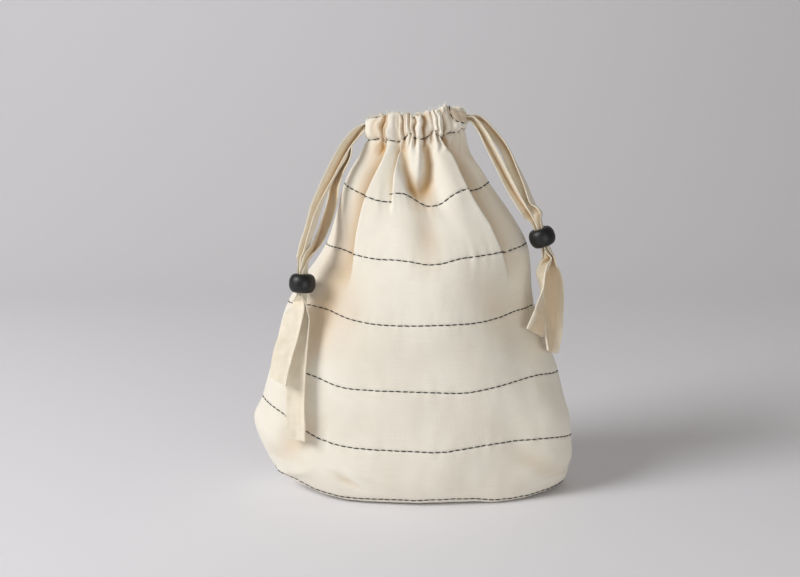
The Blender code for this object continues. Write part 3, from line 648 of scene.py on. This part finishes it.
# Folds that the gathers send down the front. A lap is a fold whose one side stands over the other:
# line points (x, z), how proud its high side is, how sunk its low side, then the widths of the two sides
# (low, high), +1 if the high side is on the right, how far the layers have slid along each other and how
# far the high one hangs over.
FRONT_LAPS = [
    (
        [(-16.0, 222.0), (-16.8, 217.0), (-18.8, 210.5), (-21.4, 205.0), (-25.0, 197.5), (-28.6, 189.4),
         (-32.0, 177.7), (-35.0, 166.0), (-36.2, 156.7), (-37.6, 146.0), (-39.0, 134.0)],
        [1.0, 2.4, 3.2, 3.6, 3.6, 3.4, 2.8, 2.0, 1.4, 0.8, 0.0],
        [1.8, 4.2, 5.4, 5.8, 5.8, 5.6, 5.0, 4.4, 3.6, 2.0, 0.0],
        8.5, 8.0, 1, 0.0, 1.7,
    ),
    (
        [(-8.0, 222.0), (-8.6, 216.0), (-10.0, 207.6), (-11.8, 197.5), (-12.7, 188.0), (-13.0, 180.0)],
        [0.8, 2.0, 3.0, 2.8, 1.4, 0.0],
        [1.0, 2.8, 3.8, 3.4, 1.4, 0.0],
        6.0, 8.0, 1, 2.9, 1.2,
    ),
    (
        [(18.6, 222.6), (20.4, 218.5), (23.8, 213.4), (28.2, 202.7), (33.2, 192.5), (39.4, 182.7),
         (45.6, 174.4), (52.5, 160.6), (57.5, 148.0), (61.0, 136.0)],
        [1.2, 2.8, 3.6, 4.2, 3.8, 2.8, 1.8, 1.2, 0.6, 0.0],
        [1.6, 3.6, 4.8, 5.4, 5.0, 4.4, 3.8, 3.0, 1.6, 0.0],
        8.5, 11.0, -1, 0.6, 1.7,
    ),
]
# The cut end of the casing at the right, which the front shows as a slanting edge
CASING_END = [(22.2, 239.5), (23.4, 236.5), (26.2, 233.5), (30.5, 231.6)]
# Valleys (-) and ridges (+): line points, amounts and half width.
FRONT_WAVES = [
    (
        [(-6.0, 222.0), (-5.6, 216.4), (-4.4, 204.6), (-0.6, 194.5), (4.6, 186.0)],
        [-1.6, -5.0, -5.6, -4.0, 0.0], 3.0,
    ),
    (
        [(8.4, 222.0), (9.2, 216.4), (10.6, 207.6), (10.0, 198.6), (7.4, 188.0)],
        [-1.6, -5.0, -5.6, -4.0, 0.0], 3.1,
    ),
    ([(4.3, 222.0), (4.0, 212.0), (3.4, 204.0), (3.0, 195.0)], [1.4, 2.4, 2.2, 0.0], 2.4),
    ([(4.0, 204.0), (5.0, 193.0), (8.0, 178.0)], [-0.6, -3.6, 0.0], 10.0),
    ([(-21.0, 221.0), (-20.6, 218.6), (-21.0, 213.0)], [-0.6, -2.6, 0.0], 3.6),
    ([(-30.0, 214.0), (-33.0, 204.0), (-38.0, 190.0), (-44.0, 165.0)], [0.4, 1.6, 1.4, 0.0], 6.0),
    ([(-14.0, 218.0), (-16.0, 208.0), (-20.0, 190.0), (-25.0, 165.0)], [0.4, 1.2, 1.4, 0.0], 4.0),
    ([(14.0, 218.0), (18.0, 206.0), (24.0, 190.0), (30.0, 165.0)], [0.8, 2.2, 2.0, 0.0], 6.0),
    ([(38.0, 216.0), (42.0, 205.0), (50.0, 190.0)], [0.3, 1.2, 0.0], 5.0),
    ([(6.0, 184.0), (9.0, 165.0), (10.0, 138.0)], [-0.8, -1.6, 0.0], 7.0),
    (
        [(-38.0, 160.0), (-46.0, 142.0), (-54.0, 124.0), (-59.0, 105.0), (-63.0, 85.0)],
        [0.0, -2.4, -3.4, -2.6, 0.0], 10.0,
    ),
    (
        [(64.0, 156.0), (69.0, 130.0), (72.0, 104.0), (72.0, 82.0), (70.0, 68.0)],
        [0.0, -4.2, -4.8, -3.0, 0.0], 15.0,
    ),
    ([(84.0, 72.0), (88.0, 50.0), (88.0, 22.0), (83.0, 8.0)], [0.0, 5.0, 5.0, 0.6], 17.0),
    ([(27.0, 236.0), (28.0, 231.0), (27.0, 227.0)], [0.0, 2.2, 0.6], 4.0),
    ([(44.0, 208.0), (50.0, 201.0), (58.0, 196.0)], [0.0, -1.6, 0.0], 3.0),
    ([(-50.0, 24.0), (-40.0, 15.0), (-28.0, 9.0)], [0.0, -1.7, 0.0], 4.0),
    ([(-44.0, 30.0), (-34.0, 21.0), (-22.0, 14.0)], [0.0, 0.9, 0.0], 4.0),
    ([(-24.0, 172.0), (-20.0, 166.0), (-8.0, 163.0)], [0.0, -0.9, 0.0], 4.0),
    ([(88.5, 108.0), (93.0, 92.0), (95.6, 74.0), (96.4, 60.0)], [0.0, -0.9, -0.9, 0.0], 0.9),
    ([(21.3, 243.5), *CASING_END], [-0.6, -1.5, -1.6, -1.4, -0.6], 0.9),
    ([(-55.0, 60.0), (-70.0, 40.0), (-84.0, 24.0)], [0.0, -1.8, -0.8], 9.0),
    ([(-62.0, 24.0), (-74.0, 17.0), (-84.0, 12.0)], [0.0, 1.6, 0.6], 7.0),
    ([(60.0, 40.0), (76.0, 24.0), (92.0, 12.0)], [0.0, -1.2, -0.6], 9.0),
    ([(40.0, 150.0), (52.0, 120.0), (60.0, 90.0)], [0.0, -1.4, 0.0], 10.0),
    ([(-30.0, 150.0), (-38.0, 120.0), (-42.0, 85.0)], [0.0, -1.2, 0.0], 9.0),
]
BACK_LAPS = [
    ([(-16.0, 222.0), (-20.0, 207.0), (-26.0, 190.0), (-34.0, 158.0)],
     [1.0, 3.2, 2.6, 0.0], [1.4, 4.2, 3.4, 0.0], 6.0, 9.0, 1, 0.0, 1.2),
    ([(20.0, 222.0), (26.0, 207.0), (36.0, 190.0), (50.0, 158.0)],
     [1.0, 3.4, 2.8, 0.0], [1.4, 4.4, 3.6, 0.0], 7.0, 10.0, -1, 0.0, 1.2),
]
BACK_WAVES = [
    ([(-8.0, 222.0), (-8.0, 207.0), (-10.0, 183.0)], [-1.6, -4.8, 0.0], 3.6),
    ([(0.0, 222.0), (0.0, 205.0), (1.0, 180.0)], [1.0, 2.6, 0.0], 4.4),
    ([(9.0, 222.0), (10.0, 205.0), (14.0, 178.0)], [-1.6, -5.2, 0.0], 4.0),
    ([(-40.0, 120.0), (-56.0, 80.0), (-66.0, 50.0)], [0.0, -1.4, 0.0], 10.0),
    ([(50.0, 130.0), (60.0, 90.0), (70.0, 50.0)], [0.0, -1.4, 0.0], 10.0),
]
# Flutes of the heading: place of each valley, depth, half width, and lean
FRONT_FLUTES = [
    (-23.0, 0.9, 0.9, 0.05), (-19.2, 3.4, 1.0, 0.14), (-17.2, 1.6, 0.6, 0.10), (-15.2, 2.4, 0.7, 0.06),
    (-10.2, 0.6, 0.8, 0.0), (-6.1, 3.4, 0.9, -0.05), (-4.2, 1.2, 0.5, 0.0), (-1.9, 2.2, 0.7, 0.04),
    (1.2, 3.4, 0.9, 0.0), (6.8, 3.6, 0.9, 0.03), (11.4, 2.6, 0.8, -0.08), (14.4, 3.2, 0.8, -0.14),
    (16.8, 1.6, 0.6, -0.18), (18.9, 3.8, 1.0, -0.22), (24.7, 0.6, 1.0, -0.2), (29.6, 1.0, 0.8, -0.1),
]
BACK_FLUTES = [
    (-23.0, 2.4, 0.9, 0.05), (-18.0, 3.4, 1.0, 0.02), (-14.4, 1.6, 0.6, 0.0), (-9.0, 3.5, 1.0, 0.0),
    (-4.5, 1.4, 0.6, 0.0), (0.6, 3.3, 0.9, 0.0), (5.5, 2.0, 0.7, 0.0), (9.6, 3.6, 1.0, 0.0),
    (14.5, 1.8, 0.7, 0.0), (19.0, 3.4, 1.0, -0.05), (24.5, 2.0, 0.8, -0.05), (28.6, 1.4, 0.7, 0.0),
]
# How far the casing stitch rides up or down where the gathers pull it: place, amount, half width
FRONT_PULLS = [
    (-17.2, -2.0, 1.5), (-9.8, -0.6, 3.0), (-1.6, 1.8, 1.6), (4.2, -0.5, 2.6), (13.0, 3.0, 1.6),
    (17.6, -1.4, 1.2), (31.5, 3.0, 1.6),
]
BACK_PULLS = [(-20.0, 1.4, 2.0), (-12.0, -1.2, 1.8), (-3.0, 1.2, 2.0), (7.0, -1.2, 2.0), (16.0, 1.6, 2.0)]
# The fold along the top of the heading, place and height
FRONT_TOP = np.array([
    (-29.0, 233.0), (-26.8, 233.6), (-20.8, 234.4), (-18.8, 236.6), (-16.0, 237.2), (-12.6, 236.9),
    (-9.4, 237.9), (-6.0, 236.0), (-3.4, 236.7), (-1.8, 236.0), (1.2, 236.0), (3.5, 235.2), (5.6, 237.2),
    (6.8, 236.4), (8.4, 238.6), (11.4, 238.4), (12.6, 239.8), (14.4, 238.8), (16.4, 241.2),
    (18.9, 240.2), (20.4, 242.8), (23.0, 240.6), (26.0, 239.6), (30.9, 238.6), (33.2, 238.2),
])
BACK_TOP = np.array([
    (-29.0, 233.6), (-24.0, 235.6), (-20.4, 236.6), (-18.0, 235.2), (-12.0, 237.2), (-9.0, 235.8),
    (-3.0, 237.0), (0.6, 235.8), (4.0, 237.2), (9.6, 236.4), (13.0, 238.4), (19.0, 237.8),
    (22.0, 240.4), (24.5, 239.4), (28.0, 241.0), (33.2, 239.6),
])


def read_line(line, values, z):
    """Where a fold lies across the panel at height z, and how strong it is there."""
    line = np.array(line)[::-1]
    return np.interp(z, line[:, 1], line[:, 0]), np.interp(z, line[:, 1], values[::-1], left=0.0)


def folded(points, warp, level, laps, waves, flutes, pulls, top):
    """How far each point of a panel stands out, has slid up and hangs over, and how much painted shade it
    gets for lying deep in a fold.
    """
    x, z = points[..., 0], points[..., 2]
    out, slid, aside, broad = (np.zeros_like(x) for _ in range(4))
    # Laps: the high side over the low one, both dying away from the line where they meet
    for line, proud, sunk, low, high, side, slide, hang in laps:
        at, up = read_line(line, proud, z)
        down = read_line(line, sunk, z)[1]
        hung = hang * np.clip(up / 2, 0, 1)
        t = (x - at) * side - hung
        over = 0.5 * (1 + np.tanh(t / 0.6))
        aside -= side * hung * over * np.exp(-np.maximum(t, 0) / 3.5)
        out += over * up * np.exp(-np.maximum(t, 0) / high)
        out -= (1 - over) * down * np.exp(np.minimum(t, 0) / low)
        strength = slide * np.clip(np.minimum((z - line[-1][1]) / 6, (line[0][1] - z) / 14), 0, 1)
        slid += strength * (over * np.exp(-np.maximum(t, 0) / 6) - (1 - over) * np.exp(np.minimum(t, 0) / 8))
    # Waves: rounded valleys and ridges. The broad ones aren't deep folds, so no painted shade is added in
    # them
    for line, amounts, width in waves:
        at, amount = read_line(line, amounts, z)
        moved = amount * np.exp(-(((x - at) / width) ** 2))
        out += moved
        broad += moved * (width > 12)
    bent = x + 1.7 * warp
    creased = np.zeros_like(x)
    # Flutes: the narrow valleys that the drawn tape leaves in the casing
    for at, depth, width, lean in flutes:
        drawn = np.clip((z - 213) / 9, 0, 1)
        spread = width * (1 + 0.8 * np.clip((222 - z) / 10, 0, 1))
        creased += depth * drawn * np.exp(-(((bent - at - lean * (z - 228)) / spread) ** 2))
    out -= creased * (1 + 0.55 * warp)
    # Pulls: the casing stitch rides up or down there
    for at, amount, width in pulls:
        near = np.exp(-(((x - at) / width) ** 2))
        slid += amount * near * np.exp(-(((z - 223.5) / 5.0) ** 2))
    risen = np.clip(level - CASING, 0, 1) ** 2 * np.where(level > CASING, 1, 0)
    slid += risen * (np.interp(x, top[:, 0], top[:, 1]) - z[-1][None, :] - 0.3 * creased)
    # The last value is the painted shade: the deeper in a fold, the more warm tan is painted on
    return out, slid, aside, np.clip((broad - out) / 5.5, 0, 1) ** 0.9


def patches(points, across, up, layer):
    """A smooth random value at each point, in patches that are this wide and this high."""
    return np.array([
        [noise.noise(Vector((p[0] / across, p[2] / up, layer))) for p in line] for line in points
    ])


NEAR_ROW = (0.0, 0.02, 0.045, 0.08)
levels = set(np.round(np.linspace(0, 11, 136), 4).tolist())
for row in STITCHED.values():
    levels |= {round(row + side * step, 4) for side in (-1, 1) for step in NEAR_ROW}
levels = sorted(v for v in levels if v <= 11)
STATIONS = 226
panels = {}
front_shape = (FRONT_LAPS, FRONT_WAVES, FRONT_FLUTES, FRONT_PULLS, FRONT_TOP)
back_shape = (BACK_LAPS, BACK_WAVES, BACK_FLUTES, BACK_PULLS, BACK_TOP)
for side, heights, shape, layers in (
    ("front", FRONT_HEIGHTS, front_shape, (7.7, 4.1, 2.7)),
    ("back", BACK_HEIGHTS, back_shape, (3.3, 9.3, 5.3)),
):
    grid, shares = [], []
    for v in levels:
        opened = np.clip((v - SEAM_TOP) / (CASING - SEAM_TOP), 0, 1)
        gap = (SEAM_GAP + (MOUTH_GAP - SEAM_GAP) * opened) / ring(np.array([0.0]), max(v, 1.0), heights)[1]
        u = gap + (1 - 2 * gap) * np.linspace(0, 1, STATIONS + 1)
        shares.append(u)
        grid.append(level_points(u, v, heights))
    grid, shares = np.array(grid), np.array(shares)
    ahead, up = np.gradient(grid, axis=1), np.gradient(grid, axis=0)
    out_way = np.cross(ahead, up)
    out_way[:2] = (0, 0, -1)
    out_way /= np.maximum(np.linalg.norm(out_way, axis=2), 1e-9)[..., None]
    for share in (0, -1):
        out_way[:, share, 1] = 0
        out_way[:, share] /= np.maximum(np.linalg.norm(out_way[:, share], axis=1), 1e-9)[:, None]
    v = np.array(levels)[:, None]
    warp = patches(grid, 5, 6, layers[0])
    out, slid, aside, depth = folded(grid, warp, v, *shape)
    from_seam = np.minimum(shares, 1 - shares) * HALF_GIRTH
    out *= np.clip(from_seam / 9, 0, 1)
    # The casing swells over the tape in it
    along_tunnel = np.clip(v - CASING, 0, 1)
    swell = (1 - np.exp(-along_tunnel / 0.1)) * (1 - along_tunnel) ** 0.6
    out += 2.3 * swell * np.clip(from_seam / 12, 0, 1) * (1 + 0.8 * warp)
    calm = np.clip(from_seam / 15, 0, 1) * np.clip((v - 0.8) / 1.2, 0, 1)
    out += (1.5 * patches(grid, 38, 30, layers[1]) + 0.28 * patches(grid, 9, 17, layers[2])) * calm
    # Each row of stitches puckers the cloth and sinks into it a little
    for row in STITCHED.values():
        row_z = grid[levels.index(row)][:, 2]
        away = np.abs(grid[..., 2] - row_z[None, :])
        pucker = np.array([noise.noise(Vector((s * 46, row * 3.1, 0.4))) for s in shares[levels.index(row)]])
        out += 0.55 * pucker[None, :] * np.exp(-away / 4.5) * np.clip(from_seam / 10, 0, 1)
        tight = 1.1 if row == CASING else 0.4
        out -= tight * np.exp(-((away / 0.9) ** 2)) * (v > 0.5)
    seam_dip = 0.7 * np.exp(-((from_seam / 1.6) ** 2)) * (v < SEAM_TOP + 0.3)
    place = grid + out_way * (out - seam_dip)[..., None]
    place[..., 0] += aside * np.clip(from_seam / 9, 0, 1)
    place[..., 2] += slid
    place[..., 2] = np.maximum(place[..., 2], 0.02)
    place[..., 1] = np.minimum(place[..., 1], -0.1)
    if side == "front":
        # Painted shade on the cut end of the casing, where the cloth is turned in
        beyond = (grid[..., 0] - read_line(CASING_END, [0, 0, 0, 0], grid[..., 2])[0]) / 1.2
        turned_in = np.clip(beyond, 0, 1) * np.clip((grid[..., 2] - 230.8) / 1.5, 0, 1)
        depth = np.maximum(depth, 0.45 * turned_in)
    # The painted shade fades out near the side seams and the base
    panels[side] = {"place": place, "out": out_way, "shares": shares, "depth": depth * calm}

# The turn over the top, as far in and as far up, and the casing's inner layer, away from the outer one
TOP_TURN = ((0.35, 0.55), (1.2, 0.95), (2.4, 0.95), (3.3, 0.5))
LINING_AWAY, LINING_AWAY_AT_STITCH = 3.9, 1.7
casing_at = levels.index(CASING)
for side, cloth in panels.items():
    place, out_way = cloth["place"], cloth["out"]
    top = place[-1]
    back_way = out_way[-1] * np.array([1, 1, 0])
    back_way /= np.linalg.norm(back_way, axis=1)[:, None]
    roll = [top + back_way * -inwards + np.array([0, 0, upwards]) for inwards, upwards in TOP_TURN]
    lining = [
        place[i] + out_way[i] * -(LINING_AWAY if i > casing_at + 3 else LINING_AWAY_AT_STITCH)
        for i in range(len(levels) - 1, casing_at - 3, -2)
    ]
    sheet_points = np.concatenate([place, np.array(roll), np.array(lining)])
    if side == "back":
        sheet_points = sheet_points * BEHIND
    middle = sheet_points[:, STATIONS // 2]
    along = np.concatenate([[0], np.cumsum(np.linalg.norm(np.diff(middle, axis=0), axis=1))])
    shares = np.concatenate([cloth["shares"], np.tile(cloth["shares"][-1], (len(roll) + len(lining), 1))])
    flat = np.stack([shares * CLOTH_WIDTH * MM, np.tile(along[:, None] * MM, (1, STATIONS + 1))], axis=-1)
    # Painted shade: the inner layer of the casing gets a fixed warm tan, the turn over the top none
    depth = np.concatenate([
        cloth["depth"], np.full((len(roll), STATIONS + 1), 0.0), np.full((len(lining), STATIONS + 1), 0.7),
    ])
    panel = grid_object(f"{side}_panel_look", sheet_points, flat, canvas, False, depth)
    if side == "back":
        finished(panel, flip=True)
    thickened(panel, CLOTH_THICKNESS)
    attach(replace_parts(panel, f"{side}_panel"), "pouch")


# Topstitching: thick charcoal sewing thread in a running line of 4 mm stitches, each of which bulges
# between the two holes that it dips into. Its twist shows as fine slanting turns 0.4 mm apart.
STITCH_PITCH = 4.05
STITCH_LENGTH = 3.9
THREAD = 0.74
thread_material, tree, shader = new_material("charcoal sewing thread, twisted cotton", "#2A2D29", 0.75)
own_place = add(tree, "ShaderNodeTexCoord")
twist_place = add(
    tree, "ShaderNodeMapping", None, Vector=own_place.outputs["Object"], Rotation=(0.0, 0.0, 0.7)
)
twist = add(
    tree, "ShaderNodeTexWave", {"wave_type": "BANDS", "bands_direction": "DIAGONAL"},
    Vector=twist_place.outputs[0], Scale=900.0,
)
bump = add(tree, "ShaderNodeBump", None, Height=twist.outputs[1], Strength=0.4, Distance=0.0002)
tree.links.new(bump.outputs[0], shader.inputs["Normal"])


def generator(name, inputs):
    """A group that grows something along a line, its input node, and its inputs' socket identifiers."""
    group = bpy.data.node_groups.new(name, "GeometryNodeTree")
    group.interface.new_socket("Geometry", in_out="OUTPUT", socket_type="NodeSocketGeometry")
    group.interface.new_socket("Line", in_out="INPUT", socket_type="NodeSocketGeometry")
    sockets = {
        key: group.interface.new_socket(key, in_out="INPUT", socket_type=f"NodeSocket{kind}").identifier
        for key, kind in inputs.items()
    }
    return group, add(group, "NodeGroupInput"), sockets


sewing, given, sewing_inputs = generator(
    "running stitch", {"Pitch": "Float", "Stitch length": "Float", "Thread": "Float", "Seed": "Int"}
)
spaced = add(
    sewing, "GeometryNodeResampleCurve", {"mode": "LENGTH"},
    Curve=given.outputs["Line"], Length=given.outputs["Pitch"],
)
tangent = add(sewing, "GeometryNodeInputTangent")
waver = add(
    sewing, "FunctionNodeRandomValue", {"data_type": "FLOAT_VECTOR"},
    Min=(-0.07, -0.07, -0.07), Max=(0.07, 0.07, 0.07), Seed=given.outputs["Seed"],
)
course = add(
    sewing, "ShaderNodeVectorMath", {"operation": "ADD"}, i0=tangent.outputs[0], i1=waver.outputs[0]
)
aimed = add(sewing, "FunctionNodeAlignEulerToVector", {"axis": "X"}, Vector=course.outputs[0])
bulb = add(sewing, "GeometryNodeMeshUVSphere", None, Segments=8, Rings=6, Radius=0.5)
stitch_size = add(
    sewing, "ShaderNodeCombineXYZ", None,
    X=given.outputs["Stitch length"], Y=given.outputs["Thread"], Z=given.outputs["Thread"],
)
stitches = add(
    sewing, "GeometryNodeInstanceOnPoints", None, Points=spaced.outputs[0], Instance=bulb.outputs[0],
    Rotation=aimed.outputs[0], Scale=stitch_size.outputs[0],
)
real = add(sewing, "GeometryNodeRealizeInstances", None, Geometry=stitches.outputs[0])
smooth = add(sewing, "GeometryNodeSetShadeSmooth", None, Geometry=real.outputs[0])
coloured = add(sewing, "GeometryNodeSetMaterial", None, Geometry=smooth.outputs[0], Material=thread_material)
result = add(sewing, "NodeGroupOutput")
sewing.links.new(coloured.outputs[0], result.inputs[0])


def line_object(name, strokes):
    """Lines through points in millimetres, for a generator to follow."""
    curve = bpy.data.curves.new(name, "CURVE")
    curve.dimensions = "3D"
    for points in strokes:
        spline = curve.splines.new("POLY")
        spline.points.add(len(points) - 1)
        spline.points.foreach_set("co", np.concatenate([points * MM, np.ones((len(points), 1))], 1).ravel())
    made = bpy.data.objects.new(name, curve)
    bpy.context.scene.collection.objects.link(made)
    return made


def grown(name, strokes, group, sockets, values):
    """The plain mesh that a generator makes along some lines."""
    guide = line_object(f"{name}_guide", strokes)
    modifier = guide.modifiers.new("generator", "NODES")
    modifier.node_group = group
    for key, value in values.items():
        modifier[sockets[key]] = value
    bpy.context.view_layer.update()
    mesh = bpy.data.meshes.new_from_object(guide.evaluated_get(bpy.context.evaluated_depsgraph_get()))
    curve = guide.data
    bpy.data.objects.remove(guide, do_unlink=True)
    bpy.data.curves.remove(curve)
    mesh.name = name
    made = bpy.data.objects.new(name, mesh)
    bpy.context.scene.collection.objects.link(made)
    return made


# Where the stitches along the cut end of the casing go in
END_STITCH = (
    (22.0, 240.6), (22.6, 238.6), (23.4, 236.6), (24.6, 234.8), (26.2, 233.5), (28.4, 232.6), (30.5, 232.0),
)
for number, (side, cloth) in enumerate(panels.items()):
    for name, row in STITCHED.items():
        at = levels.index(row)
        line = (cloth["place"][at] + cloth["out"][at] * 0.16)[6:-6]
        run = np.diff(line, axis=0)
        hidden = np.nonzero(np.abs(run[:, 2]) > 2.4 * np.abs(run[:, 0]) + 0.25)[0]
        breaks = np.unique(np.concatenate([hidden, hidden + 1]))
        strokes = [part for part in np.split(line, breaks) if len(part) > 4]
        if side == "front" and name == "casing_stitch":
            above = cloth["place"][at:] + cloth["out"][at:] * 0.2
            edge = []
            for x, z in END_STITCH:
                away = (cloth["place"][at:, :, 0] - x) ** 2 + (cloth["place"][at:, :, 2] - z) ** 2
                edge.append(above.reshape(-1, 3)[np.argmin(away)])
            strokes.append(np.array(edge))
        if side == "back":
            strokes = [stroke * BEHIND for stroke in strokes]
        node = f"{side}_{name}"
        stitch = grown(
            f"{node}_look", strokes, sewing, sewing_inputs,
            {
                "Pitch": STITCH_PITCH * MM, "Stitch length": STITCH_LENGTH * MM, "Thread": THREAD * MM,
                "Seed": 10 * number + row,
            },
        )
        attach(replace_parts(stitch, node), "pouch")


# Frayed yarns: loose ends of the canvas's own yarns along the top of the heading and at the left low corner.
# They are single cotton yarns, untwisted where they came free, so they are fine, pale, dull and curled.
FRAY_GAP = 0.5
yarn, tree, shader = new_material("frayed cotton yarn ends", "#EFEDE2", 0.9)
fraying, given, fraying_inputs = generator("frayed edge", {"Gap": "Float", "Seed": "Int"})
spaced = add(
    fraying, "GeometryNodeResampleCurve", {"mode": "LENGTH"},
    Curve=given.outputs["Line"], Length=given.outputs["Gap"],
)
chosen = add(
    fraying, "FunctionNodeRandomValue", {"data_type": "BOOLEAN"},
    Probability=0.55, Seed=given.outputs["Seed"],
)
tilted = add(
    fraying, "FunctionNodeRandomValue", {"data_type": "FLOAT_VECTOR"},
    Min=(-1.3, -1.3, 0.0), Max=(1.3, 1.3, 6.28), Seed=given.outputs["Seed"],
)
grown_by = add(
    fraying, "FunctionNodeRandomValue", {"data_type": "FLOAT"}, i2=0.3, i3=1.05, Seed=given.outputs["Seed"],
)
bow = add(
    fraying, "GeometryNodeCurveQuadraticBezier", None,
    Resolution=7, Start=(0.0, 0.0, -0.0004), Middle=(0.0003, 0.0, 0.0016), End=(0.0016, 0.0, 0.0026),
)
yarn_outline = add(
    fraying, "GeometryNodeCurvePrimitiveCircle", {"mode": "RADIUS"}, Resolution=5, Radius=0.11 * MM
)
tube = add(
    fraying, "GeometryNodeCurveToMesh", None,
    Curve=bow.outputs[0], Profile_Curve=yarn_outline.outputs[0], Fill_Caps=True,
)
tufts = add(
    fraying, "GeometryNodeInstanceOnPoints", None, Points=spaced.outputs[0], Instance=tube.outputs[0],
    Selection=chosen.outputs[3], Rotation=tilted.outputs[0], Scale=grown_by.outputs[1],
)
real = add(fraying, "GeometryNodeRealizeInstances", None, Geometry=tufts.outputs[0])
coloured = add(fraying, "GeometryNodeSetMaterial", None, Geometry=real.outputs[0], Material=yarn)
result = add(fraying, "NodeGroupOutput")
fraying.links.new(coloured.outputs[0], result.inputs[0])
for number, (side, cloth) in enumerate(panels.items()):
    heading = cloth["place"][-1][2:-2] + np.array([0.0, 0.4, 0.7])
    corner = cloth["place"][levels.index(2)][2:16]
    strokes = [line * BEHIND if side == "back" else line for line in (heading, corner)]
    frays = grown(
        f"{side}_frays", strokes, fraying, fraying_inputs, {"Gap": FRAY_GAP * MM, "Seed": number}
    )
    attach(frays, "pouch")


# The tapes inside the casings: each lies flat in the tunnel between the two layers of canvas, goes once
# round the neck and is seen only at its slit. The right one lies further in than the left one.
CASED = (
    ("left", ("front", "back"), (10.22, 10.62), 1.5),
    ("right", ("back", "front"), (10.36, 10.78), 2.5),
)
CASED_THICKNESS = 0.6
CASED_LENGTH = 300.0
for exit_side, way_round, (low, high), inset in CASED:
    laps = []
    for side in way_round:
        lines = []
        for level in np.linspace(low, high, 4):
            i = int(np.argmin(np.abs(np.array(levels) - level)))
            line = panels[side]["place"][i] - panels[side]["out"][i] * inset
            if side == "back":
                line = (line * BEHIND)[::-1]
            lines.append(line[2:-2])
        laps.append(np.array(lines))
    strip = np.concatenate(laps, axis=1)
    flat = np.zeros((*strip.shape[:2], 2))
    flat[..., 0] = np.linspace(0, TAPE_WIDTH * MM, strip.shape[0])[:, None]
    flat[..., 1] = np.linspace(0, CASED_LENGTH * MM, strip.shape[1])[None, :]
    cased = grid_object(f"{exit_side}_drawstring_look", strip, flat, tape_material)
    thickened(cased, CASED_THICKNESS)
    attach(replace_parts(cased, f"{exit_side}_drawstring"), "pouch")


# The studio: a pale paper sweep, a large soft light high on the left and a weaker one low in front
SWEEP_FRONT, SWEEP_BEND, SWEEP_TOP = -1600.0, 700.0, 3000.0
sweep_line = []
for share in np.linspace(0, 1, 60):
    if share < 0.5:
        sweep_line.append((SWEEP_FRONT + 2 * share * (SWEEP_BEND - SWEEP_FRONT), 0.0))
    else:
        rise = pi * (share - 0.5)
        sweep_line.append((SWEEP_BEND * (1 + sin(rise)), SWEEP_BEND * (1 - cos(rise))))
sweep_line.append((2 * SWEEP_BEND, SWEEP_TOP))
sweep = np.array([[(x, y, z - 0.3) for x in (-3000.0, 3000.0)] for y, z in sweep_line])
paper, tree, shader = new_material("matt paper sweep", "#EEEDF1", 0.8)
stage = grid_object("stage", sweep, np.zeros((*sweep.shape[:2], 2)), paper)


def soft_light(name, place, size, power, colour):
    data = bpy.data.lights.new(name, "AREA")
    data.shape = "DISK"
    data.size = size
    data.energy = power
    data.color = colour
    light = bpy.data.objects.new(name, data)
    light.location = place
    light.rotation_euler = (Vector((0, 0, 0.12)) - Vector(place)).to_track_quat("-Z", "Y").to_euler()
    bpy.context.scene.collection.objects.link(light)


soft_light("key", (-1.35, -0.75, 1.05), 0.9, 24.8, (0.98, 0.99, 1.0))
soft_light("fill", (0.36, -0.85, 0.10), 0.5, 1.9, (0.97, 0.99, 1.0))
world = bpy.data.worlds.new("room")
bpy.context.scene.world = world
world.use_nodes = True
world.node_tree.nodes["Background"].inputs[0].default_value = (1.0, 0.95, 0.87, 1.0)
world.node_tree.nodes["Background"].inputs[1].default_value = 0.26
bpy.context.scene.view_settings.view_transform = "Standard"
